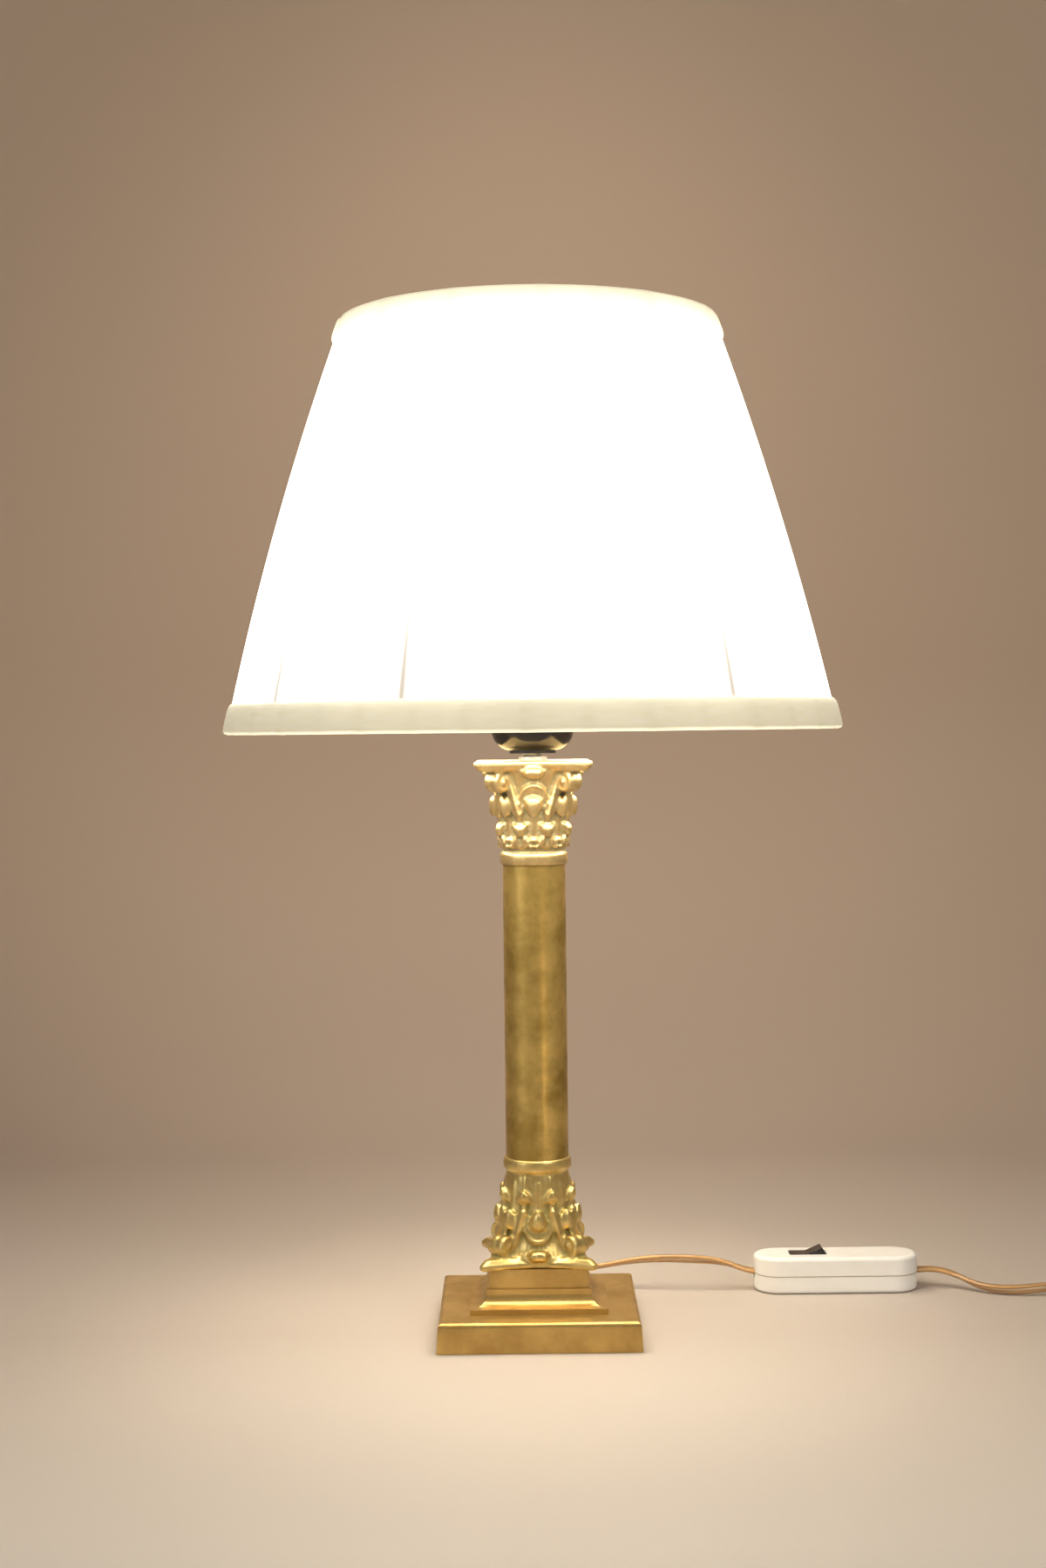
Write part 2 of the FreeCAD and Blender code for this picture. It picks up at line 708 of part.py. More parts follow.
def make_shade():
    low_ring_z = shade_low + ring_wire + 0.4
    high_ring_z = shade_high - ring_wire - 0.4
    inset = fabric_thickness + frame_gap
    low_ring_r = shade_radius(low_ring_z, inset + ring_wire)
    high_ring_r = shade_radius(high_ring_z, inset + ring_wire)
    pitch = 360.0 / panel_count
    first = -90.0 + panel_offset

    keep("shade_bottom_ring", hoop(low_ring_r, ring_wire, low_ring_z))
    keep("shade_top_ring", hoop(high_ring_r, ring_wire, high_ring_z))

    panel = shade_band(shade_low, shade_high, 0.0, fabric_thickness, pitch)
    keep("shade_fabric", *[around(panel, first + pitch * k) for k in range(panel_count)])

    rib_low = low_ring_z + ring_wire + frame_gap
    rib_high = high_ring_z - ring_wire - frame_gap
    rib_mid = (rib_low + rib_high) / 2
    depth = inset + rib_wire
    a, m, b = (V(shade_radius(z, depth), 0, z) for z in (rib_low, rib_mid, rib_high))
    spine = Part.Wire([Part.Arc(a, m, b).toShape()])
    start = spine.Edges[0].tangentAt(spine.Edges[0].FirstParameter)
    section = Part.Wire([Part.makeCircle(rib_wire, a, start)])
    rib = spine.makePipeShell([section], True, False)
    keep("shade_ribs", *[around(rib, first + pitch * k) for k in range(panel_count)])

    low_trim = shade_band(shade_low - 0.6, shade_low + low_trim_height, -low_trim_thickness, -0.02)
    high_trim = shade_band(shade_high - high_trim_height, shade_high + 0.6, -high_trim_thickness, -0.02)
    keep("shade_bottom_trim", low_trim)
    keep("shade_top_trim", high_trim)

    bore = shell_radius + fitter_bore_gap
    ring_outer = bore + fitter_ring_width
    keep("fitter_ring", pipe(bore, ring_outer, fitter_low, fitter_low + fitter_thickness))
    start = V(ring_outer + weld_gap, 0, fitter_low + fitter_thickness - spoke_wire)
    end = V(low_ring_r, 0, low_ring_z)
    run = (end - start).normalize()
    end = end - run * (ring_wire + frame_gap)
    spoke = Part.makeCylinder(spoke_wire, (end - start).Length, start, run)
    keep("fitter_spokes", *[around(spoke, 90 + 360.0 / spoke_count * k) for k in range(spoke_count)])

    clamp_bore = shell_radius + turn_gap
    clamp = turned([
        (clamp_bore, clamp_low),
        (clamp_radius - 1.2, clamp_low),
        (clamp_radius, clamp_low + 1.2),
        (clamp_radius, clamp_low + clamp_height - 2.4),
        (clamp_radius - 2.4, clamp_low + clamp_height, clamp_radius - 0.7, clamp_low + clamp_height - 0.7),
        (clamp_bore, clamp_low + clamp_height),
    ])
    finger = Part.makeCylinder(1.1, clamp_height + 2, V(clamp_radius + 0.3, 0, clamp_low - 1))
    clamp = clamp.cut([around(finger, 22.5 * k) for k in range(16)])
    keep("shade_clamp_ring", one_solid(clamp))


# ---- cord ----
def cord_path(points, widest=1e9):
    """Straight runs joined by tangent arcs. Gives the wire and its length, and prints the radii."""
    spots = [V(*p) for p in points]
    runs = [(b - a).Length for a, b in zip(spots, spots[1:])]
    edges = []
    radii = []
    last = spots[0]
    for i in range(1, len(spots) - 1):
        back = (spots[i - 1] - spots[i]).normalize()
        ahead = (spots[i + 1] - spots[i]).normalize()
        half = (math.pi - back.getAngle(ahead)) / 2
        reach = min(0.45 * min(runs[i - 1], runs[i]), widest * math.tan(half))
        radius = reach / math.tan(half)
        radii.append(round(radius, 1))
        enter = spots[i] + back * reach
        leave = spots[i] + ahead * reach
        bisector = (back + ahead).normalize()
        middle = spots[i] + bisector * (radius / math.cos(half) - radius)
        edges.append(Part.LineSegment(last, enter).toShape())
        edges.append(Part.Arc(enter, middle, leave).toShape())
        last = leave
    edges.append(Part.LineSegment(last, spots[-1]).toShape())
    print("  radii", radii)
    return Part.Wire(edges)


def tube_along(path, name):
    first = path.Edges[0]
    start = first.Vertexes[0].Point
    heading = first.tangentAt(first.FirstParameter)
    section = Part.Wire([Part.makeCircle(cord_diameter / 2, start, heading)])
    solid = path.makePipeShell([section], True, False)
    share = solid.Volume / (math.pi * cord_diameter ** 2 / 4 * path.Length)
    print(f"  {name}: length {path.Length:.1f} mm, volume / (section x length) = {share:.4f}")
    return solid


def coil_path():
    """Half circles that spiral in and out again, and climb one layer where the spiral reverses."""
    side = 1.0
    reach = coil_outer
    height = cord_diameter / 2
    at = V(coil_x, coil_y + coil_outer, height)
    begin = at - V(cord_diameter, 0, 0)
    edges = [Part.LineSegment(begin, at).toShape()]
    for layer in range(coil_layers):
        inward = -1.0 if layer % 2 == 0 else 1.0
        for step in range(coil_half_turns + (0 if layer == coil_layers - 1 else 1)):
            climb = step == coil_half_turns
            side = -side
            reach = reach if climb else reach + inward * coil_step / 2
            height = height + coil_rise if climb else height
            there = V(coil_x, coil_y + side * reach, height)
            middle = (at + there) * 0.5
            half = (there - at).Length / 2
            bulge = V(half if side < 0 else -half, 0, 0)
            edges.append(Part.Arc(at, middle + bulge, there).toShape())
            at = there
    edges.append(Part.LineSegment(at, at + V(side * cord_diameter, 0, 0)).toShape())
    return Part.Wire(edges), at + V(side * cord_diameter, 0, 0)


def least_gap(path, clear_of):
    """Smallest distance between the cord's surface and itself, measured on points along its line."""
    spots = path.discretize(Number=900)
    step = path.Length / (len(spots) - 1)
    skip = int(clear_of / step) + 1
    best = 1e9
    for i, a in enumerate(spots):
        for b in spots[i + skip:]:
            best = min(best, (a - b).Length)
    return best - cord_diameter


def make_cord():
    port_z = switch_base_height
    inside = 10.0
    left = switch_x - switch_length / 2
    right = switch_x + switch_length / 2
    leave_y = slab_half + bushing_proud

    inner = cord_path([(0, 0, block_foot_low - 0.2), (0, 0, exit_height), (0, leave_y, exit_height)], 10.5)
    keep("inner_cord", tube_along(inner, "inner cord"))

    lead = cord_path([
        (0, leave_y, exit_height),
        (0, leave_y + 10.6, exit_height + 0.3),
        (5.9, leave_y + 20.4, 8.2),
        (15.8, leave_y + 25.9, 9.3),
        (31.0, 75.6, 10.7),
        (53.0, 73.2, 15.1),
        (70.0, 71.4, 16.0),
        (86.0, 70.5, 15.4),
        (98.5, 69.3, 14.2),
        (left - 5.8, switch_y + 0.5, port_z + 1.5),
        (left + 2.6, switch_y, port_z),
        (left + inside, switch_y + 0.1, port_z),
    ])
    keep("cord_lead", tube_along(lead, "lead"))

    main = cord_path([
        (right - inside, switch_y - 0.1, port_z),
        (right - 1.8, switch_y, port_z),
        (right + 7.0, switch_y + 0.6, port_z + 0.5),
        (right + 15.0, switch_y - 0.8, 8.6),
        (right + 22.5, switch_y - 5.0, 6.3),
        (right + 29.0, switch_y - 11.6, 3.7),
        (right + 38.5, switch_y - 17.6, 2.75),
        (right + 50.5, switch_y - 19.8, 2.9),
        (right + 64.5, switch_y - 19.4, 4.4),
        (right + 82.0, switch_y - 19.2, 3.2),
        (right + 98.5, coil_y + coil_outer, cord_diameter / 2),
        (coil_x - cord_diameter, coil_y + coil_outer, cord_diameter / 2),
    ])
    keep("cord_main", tube_along(main, "main"))

    loops, loose_end = coil_path()
    keep("cord_coil", tube_along(loops, "coil"))
    print(f"  coil: least gap to itself {least_gap(loops, 30.0):.2f} mm")

    plug_mouth = V(plug_x, plug_y, plug_thickness / 2)
    tail = cord_path([
        tuple(loose_end),
        (296.6, loose_end.y, loose_end.z),
        (287.4, -25.4, 20.2),
        (plug_mouth.x, -34.6, 15.8),
        (plug_mouth.x, -44.5, 10.4),
        (plug_mouth.x, -54.0, plug_mouth.z),
        (plug_mouth.x, plug_mouth.y, plug_mouth.z),
    ])
    keep("cord_tail", tube_along(tail, "tail"))
    make_plug(plug_mouth)
    total = sum(p.Length for p in (inner, lead, main, loops, tail))
    print(f"  whole cord: {total:.0f} mm")


def make_plug(mouth):
    """Flat two-pin plug lying on the table behind its tapered neck, its pins pointing to the front."""
    root_y = mouth.y - plug_neck_length
    nose = root_y - plug_length
    half = plug_width / 2
    wide = plug_nose_width / 2
    low = mouth.z - plug_thickness / 2
    points = [
        V(mouth.x - 5.5, root_y, low),
        V(mouth.x + 5.5, root_y, low),
        V(mouth.x + half, root_y - 12.0, low),
        V(mouth.x + wide, nose + 9.0, low),
        V(mouth.x + wide, nose, low),
        V(mouth.x - wide, nose, low),
        V(mouth.x - wide, nose + 9.0, low),
        V(mouth.x - half, root_y - 12.0, low),
    ]
    body = Part.Face(Part.makePolygon(points + points[:1])).extrude(V(0, 0, plug_thickness))
    level = [e for e in body.Edges if abs(e.Vertexes[0].Z - e.Vertexes[1].Z) < 0.1]
    body = body.makeFillet(1.6, [e for e in level if max(v.Y for v in e.Vertexes) > nose + 0.5])
    neck = Part.makeCone(plug_neck_root, plug_neck_radius, plug_neck_length + 1.0,
                         V(mouth.x, root_y - 1.0, mouth.z), V(0, 1, 0))
    keep("plug_body", one_solid(body.fuse(neck)))
    pins = []
    sleeves = []
    for side in (-1, 1):
        root = V(mouth.x + side * pin_spacing / 2, nose, mouth.z)
        sleeves.append(Part.makeCylinder(sleeve_radius, sleeve_length, root, V(0, -1, 0)))
        tip = root - V(0, sleeve_length, 0)
        bare = pin_length - sleeve_length
        pin = Part.makeCylinder(pin_radius, bare, tip, V(0, -1, 0))
        nose_edge = [e for e in pin.Edges if abs(e.BoundBox.YMin - tip.y + bare) < 0.01 and e.Length > 5
                     and e.BoundBox.YLength < 0.01]
        pins.append(pin.makeFillet(pin_radius * 0.6, nose_edge))
    keep("plug_pin_sleeves", *sleeves)
    keep("plug_pins", *pins)


# ---- inline switch ----
def capsule(length, width, low, high):
    """A bar with full-round ends that lies along X."""
    radius = width / 2
    straight = length - width
    bar = Part.makeBox(straight, width, high - low, V(-straight / 2, -radius, low))
    ends = [disc(radius, low, high, side * straight / 2) for side in (-1, 1)]
    return bar.fuse(ends).removeSplitter()


def make_switch():
    middle = switch_base_height
    top = middle + switch_top_height
    place = V(switch_x, switch_y, 0)
    inner_length = switch_length - 2 * switch_wall
    inner_width = switch_width - 2 * switch_wall
    port_start = V(-switch_length / 2 - 5, 0, middle)
    port = Part.makeCylinder(cord_diameter / 2 + port_gap, switch_length + 10, port_start, V(1, 0, 0))

    base = capsule(switch_length, switch_width, 0, middle)
    base = base.makeFillet(switch_edge, [e for e in base.Edges if e.BoundBox.ZMax < 0.01])
    base = base.makeChamfer(switch_groove, [e for e in base.Edges if e.BoundBox.ZMin > middle - 0.01])
    base = base.cut(capsule(inner_length, inner_width, switch_wall, middle + 1))
    cover = capsule(switch_length, switch_width, middle, top)
    cover = cover.makeFillet(switch_edge, [e for e in cover.Edges if e.BoundBox.ZMin > top - 0.01])
    cover = cover.makeChamfer(switch_groove, [e for e in cover.Edges if e.BoundBox.ZMax < middle + 0.01])
    cover = cover.cut(capsule(inner_length, inner_width, middle - 1, top - switch_wall))

    # two posts carry the housing screws
    screw_x = inner_length / 2 - 13.0
    screws = []
    for x in (-screw_x, screw_x):
        y = 7.2 if x > 0 else -7.2
        base = base.fuse(disc(screw_head_radius + 1.0, switch_wall / 2, middle, x, y))
        base = base.cut(disc(screw_radius + slip_gap, -1, middle + 1, x, y))
        base = base.cut(disc(screw_head_radius + 0.2, -1, 3.2, x, y))
        cover = cover.fuse(disc(screw_head_radius + 1.0, middle, top - switch_wall / 2, x, y))
        cover = cover.cut(disc(screw_radius + slip_gap, middle - 1, middle + 5.2, x, y))
        screw = disc(screw_radius, 3.2, middle + 5.0, x, y).fuse(disc(screw_head_radius, 1.2, 3.2, x, y))
        slot = Part.makeBox(2 * screw_head_radius + 2, 0.8, 0.9, V(x - screw_head_radius - 1, y - 0.4, 0.8))
        screws.append(one_solid(screw.cut(slot)))

    # rocker with its trunnions, bearings in the cover, and its window
    pivot = top + 0.2 - rocker_valley * math.cos(math.radians(rocker_half_angle))
    half = rocker_length / 2
    tilt = math.radians(rocker_half_angle)
    rise = rocker_valley + half * math.tan(tilt)
    # the end faces are arcs about the pivot, so that they clear the window at every angle
    reach = math.hypot(half, rise)
    heel = math.radians(9.0)
    waist = math.radians(11.0)
    cheek_y = rocker_width / 2 + rocker_gap
    window_place = V(rocker_x - reach - rocker_gap, -cheek_y, top - switch_wall - 3)
    window = Part.makeBox(2 * (reach + rocker_gap), 2 * cheek_y, switch_wall + 6, window_place)
    cheek_low = pivot - trunnion_radius - 1.6
    cheek_thickness = trunnion_length + 0.4
    cheek_height = top - switch_wall / 2 - cheek_low
    for low_y in (-cheek_y - cheek_thickness, cheek_y):
        cheek_place = V(rocker_x - cheek_width / 2, low_y, cheek_low)
        cover = cover.fuse(Part.makeBox(cheek_width, cheek_thickness, cheek_height, cheek_place))
    cover = cover.cut(window)
    journal = 2 * (cheek_y + trunnion_length + 0.1)
    bearing = rod_along_y(trunnion_radius + pin_gap, journal, rocker_x, -journal / 2, pivot)
    cover = cover.cut(bearing)
    base = base.cut(port)
    cover = cover.cut(port)

    profile = outline([
        (-half, rise),
        (0, rocker_valley),
        (half, rise),
        (reach * math.cos(heel), -reach * math.sin(heel), reach * math.cos(waist), reach * math.sin(waist)),
        (3.2, -3.6),
        (-3.2, -3.6),
        (-reach * math.cos(heel), -reach * math.sin(heel)),
        (-half, rise, -reach * math.cos(waist), reach * math.sin(waist)),
    ])
    rocker = Part.Face(profile).extrude(V(0, rocker_width, 0))
    rocker.translate(V(0, -rocker_width / 2, 0))
    span = rocker_width + 2 * (rocker_gap + trunnion_length - 0.1)
    rocker = rocker.fuse(rod_along_y(trunnion_radius, span, 0, -span / 2, 0))
    rocker.rotate(V(0, 0, 0), V(0, 1, 0), -rocker_half_angle)
    rocker.translate(V(rocker_x, 0, pivot))

    # fixed contacts on the floor, and the spring blade that the rocker presses down
    floor = switch_wall
    contacts = []
    for x in (rocker_x - 7.0, rocker_x + 9.0):
        foot = Part.makeBox(6.0, 5.0, 1.0, V(x - 3.0, -2.5, floor))
        post = Part.makeBox(1.2, 5.0, 3.0, V(x - 3.0, -2.5, floor + 1.0))
        contacts.append(one_solid(foot.fuse(post)))
    blade_low = pivot - 3.6 - 2.2
    blade = Part.makeBox(12.0, 3.6, 0.6, V(rocker_x - 4.0, -1.8, floor + 4.4))
    riser = Part.makeBox(0.8, 3.6, blade_low - floor - 4.4, V(rocker_x + 2.0, -1.8, floor + 4.4))
    contacts.append(one_solid(blade.fuse(riser)))

    for shape in [base, cover, rocker] + screws + contacts:
        shape.translate(place)
    keep("switch_base", one_solid(base))
    keep("switch_cover", one_solid(cover))
    keep("switch_rocker", one_solid(rocker))
    keep("switch_screws", *screws)
    keep("switch_contacts", *contacts)
    print(f"  rocker pivot at z {pivot:.3f}, x {switch_x + rocker_x:.3f}")


# ---- build ----
make_base()
make_column()
make_rod()
make_holder()
make_bulb()
make_shade()
make_switch()
make_cord()

os.makedirs("parts", exist_ok=True)
for name, shape in nodes.items():
    shape.exportStep(f"parts/{name}.step")
print(len(nodes), "nodes")
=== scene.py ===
import random
from functools import partial
from math import atan2, cos, exp, hypot, pi, radians, sin, sqrt

import bmesh
import bpy
import numpy as np
from mathutils import Matrix, Vector


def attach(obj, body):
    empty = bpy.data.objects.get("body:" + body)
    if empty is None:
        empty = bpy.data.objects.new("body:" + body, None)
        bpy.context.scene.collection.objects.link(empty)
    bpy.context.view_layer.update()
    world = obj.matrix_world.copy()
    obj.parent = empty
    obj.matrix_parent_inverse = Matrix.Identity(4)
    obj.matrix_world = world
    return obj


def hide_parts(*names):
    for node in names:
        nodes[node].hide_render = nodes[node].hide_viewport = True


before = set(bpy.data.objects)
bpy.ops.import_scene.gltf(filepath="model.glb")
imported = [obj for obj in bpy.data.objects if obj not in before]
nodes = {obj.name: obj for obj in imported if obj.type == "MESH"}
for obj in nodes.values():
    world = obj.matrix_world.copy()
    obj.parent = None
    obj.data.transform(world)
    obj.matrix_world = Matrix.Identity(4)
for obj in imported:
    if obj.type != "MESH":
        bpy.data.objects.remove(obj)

for name in ("Cube", "Light", "Camera"):  # what a new file holds
    if name in bpy.data.objects:
        bpy.data.objects.remove(bpy.data.objects[name])
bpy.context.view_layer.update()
mm = 0.001
print("frame loaded:", len(nodes), "nodes")


def linear(hexColour):
    channels = [int(hexColour[i:i + 2], 16) / 255 for i in (1, 3, 5)]
    return [c / 12.92 if c <= 0.04045 else ((c + 0.055) / 1.055) ** 2.4 for c in channels] + [1.0]


def feed(node, inputs):
    # an input takes a socket, a node (its first output is meant), a hex colour or a plain value
    for key, value in inputs.items():
        if isinstance(value, bpy.types.Node):
            value = next(output for output in value.outputs if output.enabled)
        if isinstance(value, bpy.types.NodeSocket):
            node.id_data.links.new(value, node.inputs[key])
        else:
            node.inputs[key].default_value = linear(value) if isinstance(value, str) else value
    return node


def addNode(tree, kind, inputs={}, settings={}):
    node = tree.nodes.new(kind)
    for key, value in settings.items():
        if key == "stops":  # a ramp's stops, as (place, colour)
            ramp = node.color_ramp
            while len(ramp.elements) < len(value):
                ramp.elements.new(0.5)
            for element, (place, colour) in zip(ramp.elements, value):
                element.position = place
                element.color = linear(colour)
        else:
            setattr(node, key, value)
    return feed(node, inputs)


def newMaterial(name, shaderInputs):
    material = bpy.data.materials.new(name)
    material.use_nodes = True
    tree = material.node_tree
    tree.nodes.clear()
    shader = addNode(tree, "ShaderNodeBsdfPrincipled", shaderInputs)
    addNode(tree, "ShaderNodeOutputMaterial", {"Surface": shader})
    return material, partial(addNode, tree), shader


def mottled(name, shaderInputs, cloud, stops=None, gloss=None, grain=None, relief=None, boxed=False):
    # a soft cloud tints the colour and the gloss, and a finer grain, or the cloud itself, dents the surface;
    # a boxed pattern is scaled to its piece's own box, any other one to metres
    material, add, shader = newMaterial(name, shaderInputs)
    place = {} if boxed else {"Vector": add("ShaderNodeTexCoord").outputs["Object"]}
    tint = add("ShaderNodeTexNoise", {**place, **cloud})
    if stops:
        feed(shader, {"Base Color": add("ShaderNodeValToRGB", {"Fac": tint}, {"stops": stops})})
    if gloss:
        ends = dict(zip(("From Min", "From Max", "To Min", "To Max"), gloss))
        feed(shader, {"Roughness": add("ShaderNodeMapRange", {"Value": tint, **ends})})
    if relief:
        height = add("ShaderNodeTexNoise", {**place, **grain}) if grain else tint
        bump = add("ShaderNodeBump", {"Strength": relief[0], "Distance": relief[1], "Height": height})
        feed(shader, {"Normal": bump})
    return material


def newObject(name, data):
    thing = bpy.data.objects.new(name, data)
    bpy.context.collection.objects.link(thing)
    return thing


def newMesh(name, verts, faces, layers={}, outward=True):
    # verts in metres; a layer holds one number for each of them; outward turns the faces out
    mesh = bpy.data.meshes.new(name)
    mesh.from_pydata([tuple(v) for v in verts], [], faces)
    mesh.validate()
    mesh.update()
    for layer, values in layers.items():
        mesh.attributes.new(layer, "FLOAT", "POINT").data.foreach_set("value", values)
    if outward:
        work = bmesh.new()
        work.from_mesh(mesh)
        bmesh.ops.recalc_face_normals(work, faces=work.faces)
        work.to_mesh(mesh)
        work.free()
    return mesh


def placePiece(name, mesh, material, body=None, replaced=()):
    piece = newObject(name, mesh)
    mesh.materials.clear()
    mesh.materials.append(material)
    mesh.polygons.foreach_set("use_smooth", [True] * len(mesh.polygons))
    if body:
        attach(piece, body)
    if replaced:
        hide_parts(*replaced)
    return piece


def evaluated(thing):
    bpy.context.view_layer.update()
    live = thing.evaluated_get(bpy.context.evaluated_depsgraph_get())
    return bpy.data.meshes.new_from_object(live, depsgraph=bpy.context.evaluated_depsgraph_get())


def modified(thing, modifiers=()):
    # the mesh that modifiers make of a helper object, which then goes
    for step, (kind, settings) in enumerate(modifiers):
        modifier = thing.modifiers.new(str(step), kind)
        for key, value in settings.items():
            setattr(modifier, key, value)
    made = evaluated(thing)
    bpy.data.objects.remove(thing)
    return made


def newTree(name, inputs):
    # a geometry tree with named inputs, what adds its nodes, and the sockets that bring the inputs in
    tree = bpy.data.node_groups.new(name, "GeometryNodeTree")
    for socketName, kind in inputs.items():
        tree.interface.new_socket(socketName, in_out="INPUT", socket_type="NodeSocket" + kind)
    tree.interface.new_socket("Geometry", in_out="OUTPUT", socket_type="NodeSocketGeometry")
    return tree, partial(addNode, tree), addNode(tree, "NodeGroupInput").outputs


def endTree(tree, geometry, finish):
    real = addNode(tree, "GeometryNodeRealizeInstances", {"Geometry": geometry})
    dressed = addNode(tree, "GeometryNodeSetMaterial", {"Geometry": real, "Material": finish})
    addNode(tree, "NodeGroupOutput", {"Geometry": dressed})


def grown(tree, inputs):
    # the mesh that a tree makes with these inputs
    holder = newObject("holder", bpy.data.meshes.new("holder"))
    modifier = holder.modifiers.new("tree", "NODES")
    modifier.node_group = tree
    for item in tree.interface.items_tree:
        if item.name in inputs:
            modifier[item.identifier] = inputs[item.name]
    return modified(holder)


def gridFaces(rows, wide, closed=True, looped=False, capped=False, base=0):
    # faces between rows of points: closed joins a row's two ends, looped joins the last row to the first
    faces = []
    for i in range(rows if looped else rows - 1):
        low, high = base + i * wide, base + (i + 1) % rows * wide
        for j in range(wide if closed else wide - 1):
            k = (j + 1) % wide
            faces.append((low + j, low + k, high + k, high + j))
    if capped:
        last = base + (rows - 1) * wide
        faces += [tuple(reversed(range(base, base + wide))), tuple(range(last, last + wide))]
    return faces


def flat(rows):
    return [item for row in rows for item in row]


def aboutAxis(radius, angle, height):
    return Vector((radius * cos(angle), radius * sin(angle), height))


def aheadAt(spots, i):
    return (spots[min(i + 1, len(spots) - 1)] - spots[max(i - 1, 0)]).normalized()


def easedStep(t):
    return t * t * (3 - 2 * t)


# camera: the photograph's place and angle, 1.1 m away and level with the shade's lower rim
view = {"place": (-0.005, -1.098, 0.298), "down": 1.48, "roll": -0.65, "sensor": 36, "focalPixels": 2550,
        "highPixels": 1799}
camera = newObject("camera", bpy.data.cameras.new("camera"))
camera.data.sensor_width = view["sensor"]
camera.data.lens = view["sensor"] * view["focalPixels"] / view["highPixels"]
camera.matrix_world = (Matrix.Translation(view["place"])
                       @ Matrix.Rotation(radians(90 - view["down"]), 4, "X")
                       @ Matrix.Rotation(radians(view["roll"]), 4, "Z"))
bpy.context.scene.camera = camera
bpy.context.view_layer.update()
print("camera set")

# flat twin cord, in millimetres: two bundles of bare copper strands, which show orange through a clear PVC sheath
cordFacts = {"width": 5.2, "thick": 2.6, "waist": 0.62, "core": 1.62, "lobes": 7, "lobeDepth": 0.17,
             "layLength": 11.0, "step": 1.3, "sideSteps": 8}
clearPvc = mottled("clearSoftPvc", {"Base Color": "#ffeed2", "Roughness": 0.12, "IOR": 1.53,
                                    "Transmission Weight": 0.92},  # yellowish glassy skin with fine ripples
                   {"Scale": 420.0, "Detail": 3.0}, relief=(0.12, 0.0003), boxed=True)
bareCopper = mottled("bareCopperStrands", {"Metallic": 0.4, "Roughness": 0.28},  # bright orange, strand by strand
                     {"Scale": 260.0, "Detail": 4.0}, [(0.3, "#f6bc74"), (0.7, "#ffe6b0")], boxed=True)


def splineLine(name, points):
    # a smooth line through the way points, which are in millimetres, thinned to even steps
    curve = bpy.data.curves.new(name, "CURVE")
    curve.dimensions = "3D"
    spline = curve.splines.new("NURBS")
    spline.points.add(len(points) - 1)
    for spot, p in zip(spline.points, points):
        spot.co = (p[0] * mm, p[1] * mm, p[2] * mm, 1)
    spline.order_u = 3
    spline.use_endpoint_u = True
    spline.resolution_u = 12
    mesh = modified(newObject(name, curve))
    line = [v.co.copy() for v in mesh.vertices]
    bpy.data.meshes.remove(mesh)
    kept = [line[0]]
    for spot in line[1:]:
        if (spot - kept[-1]).length > cordFacts["step"] * mm:
            kept.append(spot)
    kept[-1] = line[-1]
    return kept


def lengthOf(line):
    return sum((b - a).length for a, b in zip(line, line[1:]))


def flatCord(name, line, edgeStations, replaced):
    # edgeStations give the share of the way and how far the flat cord stands on its edge, in degrees
    total = lengthOf(line)
    radius = cordFacts["thick"] / 2
    spread = cordFacts["width"] / 2 - radius
    outline = []
    for side in (1, -1):
        for k in range(cordFacts["sideSteps"] + 1):
            a = radians(-90 * side + 180 * k / cordFacts["sideSteps"])
            outline.append((side * spread + radius * cos(a), radius * sin(a)))
        outline.append((0, side * radius * cordFacts["waist"]))
    coreRing = cordFacts["lobes"] * 3
    sheathRows, coreRows = [], {-1: [], 1: []}
    run = 0.0
    for i, spot in enumerate(line):
        if i:
            run += (spot - line[i - 1]).length
        ahead = aheadAt(line, i)
        flatWay = ahead.cross(Vector((0, 0, 1)))
        if flatWay.length < 1e-4:  # the line stands upright
            flatWay = Vector((1, 0, 0))
        flatWay.normalize()
        upWay = flatWay.cross(ahead).normalized()
        share = run / total
        edge = edgeStations[-1][1]
        for (s0, e0), (s1, e1) in zip(edgeStations, edgeStations[1:]):
            if s0 <= share <= s1:
                edge = e0 + (e1 - e0) * easedStep((share - s0) / max(s1 - s0, 1e-9))
        c, s = cos(radians(edge)), sin(radians(edge))
        wide = flatWay * c + upWay * s
        thin = upWay * c - flatWay * s
        sheathRows.append([spot + (wide * x + thin * y) * mm for x, y in outline])
        turn = 2 * pi * run / (cordFacts["layLength"] * mm)
        for side, rows in coreRows.items():
            row = []
            for k in range(coreRing):
                a = 2 * pi * k / coreRing
                r = cordFacts["core"] / 2 * (1 + cordFacts["lobeDepth"] * cos(cordFacts["lobes"] * a))
                x = side * spread + r * cos(a + turn)
                row.append(spot + (wide * x + thin * r * sin(a + turn)) * mm)
            rows.append(row)
    stations = len(line)
    sheathMesh = newMesh(name, flat(sheathRows), gridFaces(stations, len(outline), capped=True))
    coreMesh = newMesh(name + "Cores", flat(coreRows[-1] + coreRows[1]), gridFaces(stations, coreRing, capped=True)
                       + gridFaces(stations, coreRing, capped=True, base=stations * coreRing))
    return (placePiece(name, sheathMesh, clearPvc, "stand", replaced),
            placePiece(name + "Cores", coreMesh, bareCopper, "stand"))


